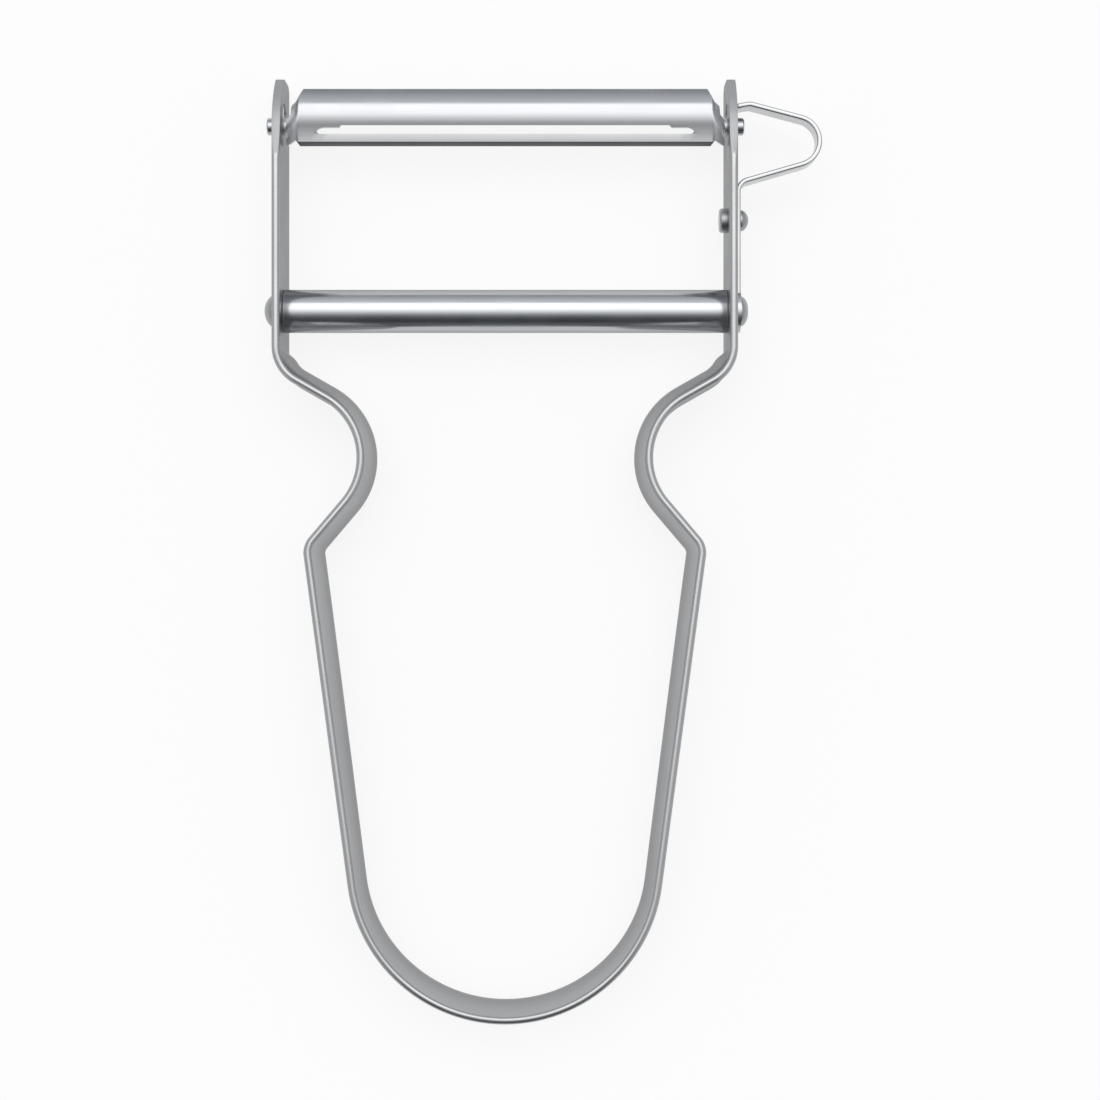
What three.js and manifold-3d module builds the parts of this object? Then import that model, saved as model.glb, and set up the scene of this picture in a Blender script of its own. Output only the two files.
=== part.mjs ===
import * as THREE from 'three';
import { mergeVertices } from 'three/addons/utils/BufferGeometryUtils.js';
import Module from 'manifold-3d';

const wasm = await Module();
wasm.setup();

// Sizes are in millimetres and angles in degrees.
// X runs across the frame, Y from the bow to the blade, Z from the resting edge to the front edge.
// Heights run along Y from the lowest point of the bow, each measured from the feature below it.

// Strip of the frame, with the turn of its rims where it is dished
const STRIP_THICKNESS = 1;
const STRIP_WIDTH = 10;
const STRIP_CORNER_RADIUS = 0.28;
const NECK_DISH_TURN = 31;
const BOW_DISH_TURN = 22.5;
const DISH_FADE = 2.6;

// Outer outline of the frame
const BOW_RADIUS = 18.9;
const SIDE_TAPER = 7.6;
const KNEE_HEIGHT = 57.1;
const KNEE_RADIUS = 2.9;
const NECK_SLOPE = 40.3;
const WAIST_RADIUS = 7.8;
const SHOULDER_SLOPE = 29.7;
const SHOULDER_ABOVE_KNEE = 20.8;
const SHOULDER_RADIUS = 5.1;
const ARM_HALF_WIDTH = 27.8;
const TIP_ABOVE_PIVOT = 5.7;

// Blanked ends of the strip, with drops below the tip and depths behind the front edge
const EAR_RUNOUT_DROP = 10.3;
const EAR_BEND_DROP = 4.1;
const EAR_BEND_DEPTH = 0.6;
const EAR_BEND_RUN = 2.5;
const EAR_TOP_DEPTH = 3.9;
const EAR_FLAT_DEPTH = 5;
const EAR_BACK_RADIUS = 1.75;

// Spacer tube and the rivet through it
const TUBE_ABOVE_SHOULDER_BEND = 4.64;
const TUBE_WALL = 1;
const TIE_SHANK_RADIUS = 1.4;
const TIE_TUBE_CLEARANCE = 0.2;
const TIE_HEAD_OVERHANG = 0.6;
const TIE_HEAD_RISE = 1.42;
const CLINCH_OVERHANG = 0.45;
const CLINCH_RISE = 1.05;
const CLINCH_DIMPLE_RADIUS = 0.8;
const CLINCH_FLOOR_RADIUS = 0.48;
const CLINCH_DIMPLE_DEPTH = 0.5;
const RIVET_HOLE_CLEARANCE = 0.05;

// Eye remover, with its reaches measured from the outer face of the arm
const LOOP_SHEET = 0.6;
const LOOP_WIDTH = 3.2;
const LOOP_CORNER_RADIUS = 0.1;
const LOOP_EYE_WALL = 1.15;
const LOOP_ROOT_CLEARANCE = 1.97;
const LOOP_ROOT_RADIUS = 1.5;
const LOOP_LOWER_SLOPE = 16.1;
const LOOP_UPPER_SLOPE = 14.8;
const LOOP_NOSE_RADIUS = 2.92;
const LOOP_TIP_BEND_REACH = 1.75;
const LOOP_TIP_BEND_RADIUS = 1.6;
const LOOP_TIP_DROP = 0.3;
const LOOP_TIP_GAP = 0.12;
const LOOP_TIP_CLEARANCE = 0.85;

// Rivet of the eye remover
const SMALL_RIVET_ABOVE_TUBE = 11;
const SMALL_SHANK_RADIUS = 0.8;
const SMALL_HEAD_OVERHANG = 0.5;
const SMALL_HEAD_RISE = 1.03;
const DISC_HEAD_OVERHANG = 0.68;
const DISC_HEAD_RISE = 0.9;
const DISC_HEAD_ROUND = 0.35;

// Swivel of the blade
const PIVOT_ABOVE_LOOP_ROOT = 7;
const TRUNNION_RADIUS = 1.05;
const TRUNNION_PROJECTION = 1.1;
const TRUNNION_ROUND = 0.25;
const TRUNNION_ROOT = 1.2;
const RUNNING_CLEARANCE = 0.08;
const END_PLAY = 0.3;
const SWING_LIMIT = 30;
const KEY_WIDTH = 1;
const KEY_PROJECTION = 1.4;
const KEY_GAP = 0.3;
const KEY_LENGTH = 0.7;

// Formed section of the blade, as offsets from the pivot: rises along Y and fronts along Z
const BLADE_SHEET = 0.5;
const TROUGH_RADIUS = 4.8;
const TROUGH_CENTRE_RISE = 1.28;
const TROUGH_CROWN_FRONT = 2.2;
const TROUGH_BEND_TURN = 15;
const TROUGH_TOP_RADIUS = 3;
const TROUGH_TOP_TURN = 60.8;
const RIDGE_TURN = -8.1;
const LIP_TURN = -17.9;
const SLOT_WIDTH = 0.98;
const RAIL_SETBACK = 0.26;
const RAIL_HEIGHT = 0.92;
const RAIL_LEAN = -0.15;
const RAIL_FOOT_HEIGHT = 0.52;
const RAIL_FOOT_LEAN = 0.3;
const BEVEL_ANGLE = 21;
const BEVEL_EDGE = 0.06;

// Folded webs at the ends of the blade
const WEB_LENGTH = 1.75;
const WEB_RIDGE_RISE = -1.3;
const WEB_RIDGE_FRONT = 1.6;
const WEB_TOP_RISE = 2.2;
const WEB_TOP_FRONT = 0.3;
const WEB_FOOT_RISE = -2.5;
const WEB_FOOT_FRONT = 0.5;

// Flat outline of the blade, with insets measured from the end of the web
const TOP_EDGE_INSET = 2.1;
const CORNER_CUT_INSET = 1.3;
const CORNER_CUT_RISE = 2.7;
const WEB_CREST_INSET = 0.65;
const WEB_CREST_RISE = 2.3;
const WEB_NECK_INSET = 0.55;
const WEB_NECK_RISE = 1.2;
const WEB_END_RISE = 0.65;
const RAIL_END_INSET = 1.75;
const RAIL_NOTCH_INSET = 1.2;
const RAIL_NOTCH_HEIGHT = 0.7;
const SLOT_INSET = 3.75;
const SLOT_END_RUN = 1;
const SLOT_END_ROUND = 0.25;
const UNGROUND_LENGTH = 2.95;
const UNGROUND_LIP = 0.25;

// Fineness of the facets and overlap of the cutting tools
const ARC_STEP = 7;
const LINE_STEP = 9;
const DISH_STEPS = 6;
const ROUND_SEGMENTS = 48;
const DOME_STEPS = 6;
const TROUGH_STEPS = 12;
const CUT_OVERLAP = 1;

const innerHalfWidth = ARM_HALF_WIDTH - STRIP_THICKNESS;
const loopOuterFace = ARM_HALF_WIDTH + LOOP_SHEET;
const midDepth = STRIP_WIDTH / 2;
const smallHeadRadius = SMALL_SHANK_RADIUS + SMALL_HEAD_OVERHANG;
const keyReach = TRUNNION_RADIUS + KEY_PROJECTION;

// Heights along the frame
const shoulderHeight = KNEE_HEIGHT + SHOULDER_ABOVE_KNEE;
const armStart = shoulderHeight + bendRun(SHOULDER_RADIUS, 90 - SHOULDER_SLOPE);
const tubeHeight = armStart + TUBE_ABOVE_SHOULDER_BEND;
const smallRivetHeight = tubeHeight + SMALL_RIVET_ABOVE_TUBE;
const loopBendStart = smallRivetHeight + smallHeadRadius + LOOP_ROOT_CLEARANCE;
const loopRootHeight = loopBendStart + bendRun(LOOP_ROOT_RADIUS, 90 - LOOP_LOWER_SLOPE);
const pivotHeight = loopRootHeight + PIVOT_ABOVE_LOOP_ROOT;
const tipHeight = pivotHeight + TIP_ABOVE_PIVOT;

// Landmarks of the blade
const webEnd = innerHalfWidth - END_PLAY;
const webStart = webEnd - WEB_LENGTH;
const slotHalfLength = webEnd - SLOT_INSET;
const groundHalfLength = slotHalfLength - UNGROUND_LENGTH;
const lip = onTrough(LIP_TURN);
const railTop = point(lip.x - SLOT_WIDTH, lip.y - RAIL_SETBACK);
const crease = point(railTop.x - RAIL_HEIGHT, railTop.y + RAIL_LEAN);
const railFoot = point(crease.x - RAIL_FOOT_HEIGHT, crease.y - RAIL_FOOT_LEAN);

function radians(angle) {
  return THREE.MathUtils.degToRad(angle);
}

function point(x, y) {
  return new THREE.Vector2(x, y);
}

function heading(angle) {
  return point(Math.cos(radians(angle)), Math.sin(radians(angle)));
}

function between(a, b, share) {
  return a.clone().lerp(b, share);
}

// Length of the straight run that a rounded bend takes up on each side of its corner.
function bendRun(radius, turn) {
  return radius * Math.tan(radians(turn / 2));
}

function crossing(a, directionA, b, directionB) {
  const gap = b.clone().sub(a);
  const share = gap.cross(directionB) / directionA.cross(directionB);
  return a.clone().addScaledVector(directionA, share);
}

// Solids

function solid(geometry) {
  const bare = new THREE.BufferGeometry();
  bare.setAttribute('position', geometry.getAttribute('position'));
  bare.setIndex(geometry.getIndex());
  const merged = mergeVertices(bare, 1e-5);
  const index = merged.getIndex().array;
  const triangles = [];
  for (let i = 0; i < index.length; i += 3) {
    const [a, b, c] = [index[i], index[i + 1], index[i + 2]];
    if (a !== b && b !== c && c !== a) {
      triangles.push(a, b, c);
    }
  }
  return new wasm.Manifold(new wasm.Mesh({
    numProp: 3,
    vertProperties: new Float32Array(merged.getAttribute('position').array),
    triVerts: new Uint32Array(triangles),
  }));
}

function geometryOf(body) {
  const mesh = body.getMesh();
  const geometry = new THREE.BufferGeometry();
  geometry.setAttribute('position', new THREE.BufferAttribute(new Float32Array(mesh.vertProperties), 3));
  geometry.setIndex(new THREE.BufferAttribute(new Uint32Array(mesh.triVerts), 1));
  geometry.computeVertexNormals();
  return geometry;
}

function closedSurface(vertices, triangles) {
  const geometry = new THREE.BufferGeometry();
  geometry.setAttribute('position', new THREE.Float32BufferAttribute(vertices.flat(), 3));
  geometry.setIndex(triangles.flat());
  return solid(geometry);
}

function quad(a, b, c, d) {
  return [a, b, c, a, c, d];
}

// A profile of radius and place along X, turned about the X axis through the given point.
function turned(profile, height, depth) {
  const geometry = new THREE.LatheGeometry(profile, ROUND_SEGMENTS);
  geometry.rotateZ(-Math.PI / 2);
  geometry.translate(0, height, depth);
  return solid(geometry);
}

function roundBar(radius, from, to, height, depth) {
  return turned([point(0, from), point(radius, from), point(radius, to), point(0, to)], height, depth);
}

// A shape drawn with Z to its right and Y up, carried across the frame along X.
function acrossFrame(shape, from, to) {
  const settings = { depth: to - from, bevelEnabled: false, curveSegments: 12 };
  const geometry = new THREE.ExtrudeGeometry(shape, settings);
  geometry.rotateY(-Math.PI / 2);
  geometry.translate(to, 0, 0);
  return solid(geometry);
}

// Routes made of straight runs and rounded corners

function roundedCorner(before, corner, after) {
  const back = before.clone().sub(corner).normalize();
  const on = after.clone().sub(corner).normalize();
  const half = Math.acos(back.dot(on)) / 2;
  const start = corner.clone().addScaledVector(back, corner.radius / Math.tan(half));
  const end = corner.clone().addScaledVector(on, corner.radius / Math.tan(half));
  const middle = back.clone().add(on).normalize();
  const centre = corner.clone().addScaledVector(middle, corner.radius / Math.sin(half));
  const from = start.clone().sub(centre).angle();
  const to = end.clone().sub(centre).angle();
  const clockwise = back.cross(on) > 0;
  const arc = new THREE.EllipseCurve(centre.x, centre.y, corner.radius, corner.radius, from, to, clockwise);
  return { start, end, arc, turn: 180 - THREE.MathUtils.radToDeg(2 * half) };
}

function corner(place, radius) {
  const rounded = place.clone();
  rounded.radius = radius;
  return rounded;
}

function addStations(stations, curve, steps) {
  const first = stations.length === 0 ? 0 : 1;
  for (let i = first; i <= steps; i += 1) {
    const along = curve.getTangent(i / steps);
    stations.push({ place: curve.getPoint(i / steps), outward: point(along.y, -along.x) });
  }
}

function routeStations(start, corners, end) {
  const stops = [start, ...corners, end];
  const stations = [];
  let last = start;
  corners.forEach((place, i) => {
    const bend = roundedCorner(stops[i], place, stops[i + 2]);
    addStations(stations, new THREE.LineCurve(last, bend.start), lineSteps(last, bend.start));
    addStations(stations, bend.arc, Math.ceil(bend.turn / ARC_STEP));
    last = bend.end;
  });
  addStations(stations, new THREE.LineCurve(last, end), lineSteps(last, end));
  return stations;
}

function lineSteps(a, b) {
  return Math.max(1, Math.ceil(a.distanceTo(b) / LINE_STEP));
}

// Section of a flat strip: offsets inward from its outer face, and depths along Z.
function stripSection(thickness, low, high, radius, faceSteps) {
  const section = [];
  const corners = [
    [thickness - radius, low + radius, -90],
    [thickness - radius, high - radius, 0],
    [radius, high - radius, 90],
    [radius, low + radius, 180],
  ];
  corners.forEach(([inward, depth, from], side) => {
    [0, 45, 90].forEach((turn) => {
      section.push(point(inward, depth).addScaledVector(heading(from + turn), radius));
    });
    if (side % 2 === 0) {
      section.push(...faceRow(section[section.length - 1], low + high - 2 * depth, faceSteps));
    }
  });
  return section;
}

function faceRow(from, run, steps) {
  const row = [];
  for (let i = 1; i < steps; i += 1) {
    row.push(point(from.x, from.y + (run * i) / steps));
  }
  return row;
}

// The strip bends to an arc across its width and bulges inward, with rims square to its faces.
// Its outer corners stay on the route and its rims keep their depth.
function dished(section, turn) {
  if (turn === 0) {
    return section;
  }
  const onArc = (offset, depth) => {
    const bend = radians(turn) / midDepth;
    return heading((turn * (depth - midDepth)) / midDepth)
      .multiplyScalar(1 / bend + offset - STRIP_THICKNESS / 2);
  };
  const frontCorner = STRIP_WIDTH - STRIP_CORNER_RADIUS;
  const outermost = onArc(STRIP_CORNER_RADIUS, frontCorner).x - STRIP_CORNER_RADIUS;
  const foremost = onArc(STRIP_THICKNESS - STRIP_CORNER_RADIUS, frontCorner).y + STRIP_CORNER_RADIUS;
  return section.map(({ x, y }) => {
    const spot = onArc(x, y);
    return point(spot.x - outermost, midDepth + (spot.y * midDepth) / foremost);
  });
}

function sweptStrip(stations, section) {
  const vertices = [];
  const triangles = [];
  const count = section.length;
  stations.forEach(({ place, outward, dish }) => {
    dished(section, dish).forEach(({ x, y }) => {
      const spot = place.clone().addScaledVector(outward, -x);
      vertices.push([spot.x, spot.y, y]);
    });
  });
  for (let i = 0; i + 1 < stations.length; i += 1) {
    for (let j = 0; j < count; j += 1) {
      const near = i * count;
      const far = near + count;
      const next = (j + 1) % count;
      triangles.push(quad(near + j, near + next, far + next, far + j));
    }
  }
  const last = (stations.length - 1) * count;
  THREE.ShapeUtils.triangulateShape(section, []).forEach(([a, b, c]) => {
    triangles.push([c, b, a]);
    triangles.push([last + a, last + b, last + c]);
  });
  return closedSurface(vertices, triangles);
}

// Frame strap

function strapStations() {
  const taper = heading(90 - SIDE_TAPER);
  const bowSide = point(0, BOW_RADIUS).addScaledVector(heading(-SIDE_TAPER), BOW_RADIUS);
  const kneeLevel = point(0, KNEE_HEIGHT);
  const knee = crossing(bowSide, taper, kneeLevel, heading(0));
  const shoulder = point(ARM_HALF_WIDTH, shoulderHeight);
  const waist = crossing(knee, heading(90 + NECK_SLOPE), shoulder, heading(180 + SHOULDER_SLOPE));
  const bowApex = crossing(bowSide, taper, point(0, 0), heading(90));
  const right = [
    corner(knee, KNEE_RADIUS),
    corner(waist, WAIST_RADIUS),
    corner(shoulder, SHOULDER_RADIUS),
  ];
  const left = right.map((place) => corner(point(-place.x, place.y), place.radius)).reverse();
  const tip = point(ARM_HALF_WIDTH, tipHeight + CUT_OVERLAP);
  const corners = [...left, corner(bowApex, BOW_RADIUS), ...right];
  const route = routeStations(point(-tip.x, tip.y), corners, tip);
  return route.map((station) => ({ ...station, dish: dishAt(station.place.y) }));
}

// The dish deepens from the bow to the knee and fades out where the arms begin.
function dishAt(height) {
  const climb = THREE.MathUtils.smoothstep(height, 0, KNEE_HEIGHT);
  const fade = THREE.MathUtils.smoothstep(armStart - height, 0, DISH_FADE);
  return THREE.MathUtils.lerp(BOW_DISH_TURN, NECK_DISH_TURN, climb) * fade;
}

function earProfile() {
  const runout = point(STRIP_WIDTH, tipHeight - EAR_RUNOUT_DROP);
  const bend = point(STRIP_WIDTH - EAR_BEND_DEPTH, tipHeight - EAR_BEND_DROP);
  const top = point(STRIP_WIDTH - EAR_TOP_DEPTH, tipHeight);
  const slopeStart = between(bend, runout, EAR_BEND_RUN / bend.distanceTo(runout));
  const slopeMiddle = between(bend, top, 0.5);
  const shape = new THREE.Shape();
  shape.moveTo(-CUT_OVERLAP, -CUT_OVERLAP);
  shape.lineTo(STRIP_WIDTH + CUT_OVERLAP, -CUT_OVERLAP);
  shape.lineTo(STRIP_WIDTH + CUT_OVERLAP, runout.y);
  shape.lineTo(runout.x, runout.y);
  shape.lineTo(slopeStart.x, slopeStart.y);
  shape.quadraticCurveTo(bend.x, bend.y, slopeMiddle.x, slopeMiddle.y);
  shape.quadraticCurveTo(top.x, top.y, STRIP_WIDTH - EAR_FLAT_DEPTH, tipHeight);
  shape.lineTo(EAR_BACK_RADIUS, tipHeight);
  shape.absarc(EAR_BACK_RADIUS, tipHeight - EAR_BACK_RADIUS, EAR_BACK_RADIUS, Math.PI / 2, Math.PI, false);
  shape.lineTo(-CUT_OVERLAP, tipHeight - EAR_BACK_RADIUS);
  return shape;
}

// Window beside the bearing hole in which the key of the trunnion swings between its stops.
function swingWindow() {
  const pivot = point(midDepth, pivotHeight);
  const reach = keyReach + KEY_GAP;
  const offset = KEY_WIDTH / 2 + KEY_GAP;
  const run = Math.sqrt(reach * reach - offset * offset);
  const spread = SWING_LIMIT + THREE.MathUtils.radToDeg(Math.asin(offset / reach));
  const front = pivot.clone().addScaledVector(heading(-SWING_LIMIT), offset);
  const back = pivot.clone().addScaledVector(heading(180 + SWING_LIMIT), offset);
  const frontEnd = front.clone().addScaledVector(heading(90 - SWING_LIMIT), run);
  const shape = new THREE.Shape();
  shape.moveTo(front.x, front.y);
  shape.lineTo(frontEnd.x, frontEnd.y);
  shape.absarc(pivot.x, pivot.y, reach, radians(90 - spread), radians(90 + spread), false);
  shape.lineTo(back.x, back.y);
  return shape;
}

function bothSides(tool) {
  return tool.add(tool.mirror([1, 0, 0]));
}

function frameStrap() {
  const section = stripSection(STRIP_THICKNESS, 0, STRIP_WIDTH, STRIP_CORNER_RADIUS, DISH_STEPS);
  const from = innerHalfWidth - CUT_OVERLAP;
  const to = ARM_HALF_WIDTH + CUT_OVERLAP;
  const bearing = roundBar(TRUNNION_RADIUS + RUNNING_CLEARANCE, from, to, pivotHeight, midDepth);
  return sweptStrip(strapStations(), section)
    .intersect(acrossFrame(earProfile(), -to, to))
    .subtract(bothSides(bearing.add(acrossFrame(swingWindow(), from, to))))
    .subtract(bothSides(tieHole(from, to)))
    .subtract(smallHole(from, to));
}

function tieHole(from, to) {
  return roundBar(TIE_SHANK_RADIUS + RIVET_HOLE_CLEARANCE, from, to, tubeHeight, midDepth);
}

function smallHole(from, to) {
  return roundBar(SMALL_SHANK_RADIUS + RIVET_HOLE_CLEARANCE, from, to, smallRivetHeight, midDepth);
}

// Spacer tube and rivets

function spacerTube() {
  const bore = TIE_SHANK_RADIUS + TIE_TUBE_CLEARANCE;
  const outer = bore + TUBE_WALL;
  const profile = [
    point(bore, -innerHalfWidth),
    point(outer, -innerHalfWidth),
    point(outer, innerHalfWidth),
    point(bore, innerHalfWidth),
    point(bore, -innerHalfWidth),
  ];
  return turned(profile, tubeHeight, midDepth);
}

// Quarter oval from the top of a rivet head down to its rim, standing on a face at the given place.
function dome(radius, rise, face, side) {
  const profile = [];
  for (let i = 0; i <= DOME_STEPS; i += 1) {
    const turn = (Math.PI / 2) * (i / DOME_STEPS);
    profile.push(point(radius * Math.sin(turn), face + side * rise * Math.cos(turn)));
  }
  profile[0].x = 0;
  return profile;
}

function tieRivet() {
  const profile = [
    ...dome(TIE_SHANK_RADIUS + TIE_HEAD_OVERHANG, TIE_HEAD_RISE, -ARM_HALF_WIDTH, -1),
    point(TIE_SHANK_RADIUS, -ARM_HALF_WIDTH),
    point(TIE_SHANK_RADIUS, loopOuterFace),
    ...clinchedEnd(),
  ];
  return turned(profile, tubeHeight, midDepth);
}

// Rolled end of the rivet with the dimple left by the closing tool.
function clinchedEnd() {
  const rim = dome(TIE_SHANK_RADIUS + CLINCH_OVERHANG, CLINCH_RISE, loopOuterFace, 1).reverse();
  const roll = rim.filter((spot) => spot.x > CLINCH_DIMPLE_RADIUS);
  const crest = roll[roll.length - 1].y;
  roll.push(point(CLINCH_DIMPLE_RADIUS, crest));
  roll.push(point(CLINCH_FLOOR_RADIUS, crest - CLINCH_DIMPLE_DEPTH));
  roll.push(point(0, crest - CLINCH_DIMPLE_DEPTH));
  return roll;
}

function eyeRemoverRivet() {
  const disc = innerHalfWidth - DISC_HEAD_RISE;
  const rim = SMALL_SHANK_RADIUS + DISC_HEAD_OVERHANG;
  const flat = rim - DISC_HEAD_ROUND;
  const profile = [point(0, disc), point(flat, disc)];
  [30, 60, 90].forEach((turn) => {
    const round = heading(turn - 90).multiplyScalar(DISC_HEAD_ROUND);
    profile.push(point(flat + round.x, disc + DISC_HEAD_ROUND + round.y));
  });
  profile.push(point(rim, innerHalfWidth));
  profile.push(point(SMALL_SHANK_RADIUS, innerHalfWidth));
  profile.push(point(SMALL_SHANK_RADIUS, loopOuterFace));
  profile.push(...dome(smallHeadRadius, SMALL_HEAD_RISE, loopOuterFace, 1).reverse());
  return turned(profile, smallRivetHeight, midDepth);
}

// Eye remover

function loopStations() {
  const legLine = ARM_HALF_WIDTH + LOOP_SHEET / 2;
  const foot = point(legLine, tubeHeight);
  const root = point(legLine, loopRootHeight);
  const loopTipHeight = pivotHeight + TRUNNION_RADIUS + LOOP_TIP_CLEARANCE + LOOP_SHEET / 2;
  const tip = point(ARM_HALF_WIDTH + LOOP_TIP_GAP, loopTipHeight);
  const tipBend = point(ARM_HALF_WIDTH + LOOP_TIP_BEND_REACH, loopTipHeight + LOOP_TIP_DROP);
  const nose = crossing(root, heading(LOOP_LOWER_SLOPE), tipBend, heading(-LOOP_UPPER_SLOPE));
  const corners = [
    corner(root, LOOP_ROOT_RADIUS),
    corner(nose, LOOP_NOSE_RADIUS),
    corner(tipBend, LOOP_TIP_BEND_RADIUS),
  ];
  return routeStations(foot, corners, tip).map((station) => ({ ...station, dish: 0 }));
}

function eyeRemover() {
  const low = midDepth - LOOP_WIDTH / 2;
  const high = midDepth + LOOP_WIDTH / 2;
  const section = stripSection(LOOP_SHEET, low, high, LOOP_CORNER_RADIUS, 1);
  section.forEach((spot) => {
    spot.x -= LOOP_SHEET / 2;
  });
  const from = ARM_HALF_WIDTH - CUT_OVERLAP;
  const to = loopOuterFace + CUT_OVERLAP;
  return sweptStrip(loopStations(), section)
    .add(loopEye())
    .subtract(tieHole(from, to))
    .subtract(smallHole(from, to));
}

// Round eye at the foot of the leg, through which the tie rivet passes.
function loopEye() {
  const radius = TIE_SHANK_RADIUS + RIVET_HOLE_CLEARANCE + LOOP_EYE_WALL;
  const flat = radius - LOOP_CORNER_RADIUS;
  const profile = [point(0, ARM_HALF_WIDTH)];
  [-90, -45, 0].forEach((turn) => {
    const round = heading(turn).multiplyScalar(LOOP_CORNER_RADIUS);
    profile.push(point(flat + round.x, ARM_HALF_WIDTH + LOOP_CORNER_RADIUS + round.y));
  });
  [0, 45, 90].forEach((turn) => {
    const round = heading(turn).multiplyScalar(LOOP_CORNER_RADIUS);
    profile.push(point(flat + round.x, loopOuterFace - LOOP_CORNER_RADIUS + round.y));
  });
  profile.push(point(0, loopOuterFace));
  return turned(profile, tubeHeight, midDepth);
}

// Swivel blade

// Rise and front of a spot on the trough, by its turn from the crown; its top is bent more tightly.
function onTrough(turn) {
  const main = heading(Math.min(turn, TROUGH_BEND_TURN));
  const top = heading(Math.max(turn, TROUGH_BEND_TURN)).sub(heading(TROUGH_BEND_TURN));
  const round = main.multiplyScalar(TROUGH_RADIUS).addScaledVector(top, TROUGH_TOP_RADIUS);
  return point(TROUGH_CENTRE_RISE + round.y, TROUGH_CROWN_FRONT - TROUGH_RADIUS + round.x);
}

// Front face of the trough from its top edge over the crown and lip to the foot of the rail.
function troughSection() {
  const section = [];
  for (let i = 0; i <= TROUGH_STEPS; i += 1) {
    section.push(onTrough(THREE.MathUtils.lerp(TROUGH_TOP_TURN, RIDGE_TURN, i / TROUGH_STEPS)));
  }
  section.push(onTrough((RIDGE_TURN + LIP_TURN) / 2));
  section.push(lip, railTop, crease, railFoot);
  return section;
}

// Two flat facets meeting in the ridge that runs down to the trunnion.
function webSection(count) {
  const top = point(WEB_TOP_RISE, WEB_TOP_FRONT);
  const ridge = point(WEB_RIDGE_RISE, WEB_RIDGE_FRONT);
  const foot = point(WEB_FOOT_RISE, WEB_FOOT_FRONT);
  const section = [];
  for (let i = 0; i < count; i += 1) {
    const below = (i - TROUGH_STEPS) / (count - 1 - TROUGH_STEPS);
    section.push(i < TROUGH_STEPS ? between(top, ridge, i / TROUGH_STEPS) : between(ridge, foot, below));
  }
  return section;
}

// Back face of the sheet, set behind the front face by the sheet's thickness.
function sheetBack(section) {
  const normals = section.slice(1).map((spot, i) => {
    const along = spot.clone().sub(section[i]).normalize();
    return point(along.y, -along.x);
  });
  return section.map((spot, i) => {
    const above = normals[Math.max(0, i - 1)];
    const below = normals[Math.min(normals.length - 1, i)];
    const mitre = above.clone().add(below).divideScalar(1 + above.dot(below));
    return spot.clone().addScaledVector(mitre, -BLADE_SHEET);
  });
}

function bladeStations() {
  const trough = troughSection();
  const web = webSection(trough.length);
  const webs = [1, 0.75, 0.5, 0.25, 0].map((share) => ({
    x: webStart + WEB_LENGTH * share,
    section: trough.map((spot, i) => between(spot, web[i], share)),
  }));
  const steps = Math.ceil((2 * webStart) / LINE_STEP);
  const body = [];
  for (let i = 1; i < steps; i += 1) {
    body.push({ x: THREE.MathUtils.lerp(-webStart, webStart, i / steps), section: trough });
  }
  const leftWebs = webs.map(({ x, section }) => ({ x: -x, section }));
  return [...leftWebs, ...body, ...webs.reverse()];
}

function formedSheet() {
  const stations = bladeStations();
  const count = stations[0].section.length;
  const back = stations.length * count;
  const fronts = [];
  const backs = [];
  const triangles = [];
  stations.forEach(({ x, section }) => {
    section.forEach((spot) => fronts.push([x, pivotHeight + spot.x, midDepth + spot.y]));
    sheetBack(section).forEach((spot) => backs.push([x, pivotHeight + spot.x, midDepth + spot.y]));
  });
  for (let i = 0; i + 1 < stations.length; i += 1) {
    const near = i * count;
    const far = near + count;
    for (let j = 0; j + 1 < count; j += 1) {
      triangles.push(quad(near + j, near + j + 1, far + j + 1, far + j));
      triangles.push(quad(back + far + j, back + far + j + 1, back + near + j + 1, back + near + j));
    }
    const foot = count - 1;
    triangles.push(quad(near, far, back + far, back + near));
    triangles.push(quad(back + near + foot, back + far + foot, far + foot, near + foot));
  }
  const end = (stations.length - 1) * count;
  for (let j = 0; j + 1 < count; j += 1) {
    triangles.push(quad(j + 1, j, back + j, back + j + 1));
    triangles.push(quad(end + j, end + j + 1, back + end + j + 1, back + end + j));
  }
  return closedSurface([...fronts, ...backs], triangles);
}

function mirroredLoop(half) {
  const left = half.map(([x, y]) => [-x, y]).reverse();
  return [...half, ...left].map(([x, y]) => point(x, y));
}

// Outline of the flat blank seen from the front, with the slot left open.
function blankOutline() {
  const beyond = webEnd + CUT_OVERLAP;
  const top = onTrough(TROUGH_TOP_TURN).x;
  const outline = mirroredLoop([
    [webEnd - TOP_EDGE_INSET - CUT_OVERLAP, top + CUT_OVERLAP],
    [webEnd - TOP_EDGE_INSET, top],
    [webEnd - CORNER_CUT_INSET, CORNER_CUT_RISE],
    [webEnd - WEB_CREST_INSET, WEB_CREST_RISE],
    [webEnd - WEB_NECK_INSET, WEB_NECK_RISE],
    [webEnd, WEB_END_RISE],
    [beyond, WEB_END_RISE],
    [beyond, WEB_FOOT_RISE],
    [webEnd, WEB_FOOT_RISE],
    [webEnd - RAIL_NOTCH_INSET, railFoot.x + RAIL_NOTCH_HEIGHT],
    [webEnd - RAIL_END_INSET, railFoot.x],
    [webEnd - RAIL_END_INSET, railFoot.x - CUT_OVERLAP],
  ]);
  const shape = new THREE.Shape(outline.reverse());
  shape.holes.push(new THREE.Path(mirroredLoop(slotHalf())));
  return shape;
}

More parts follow.
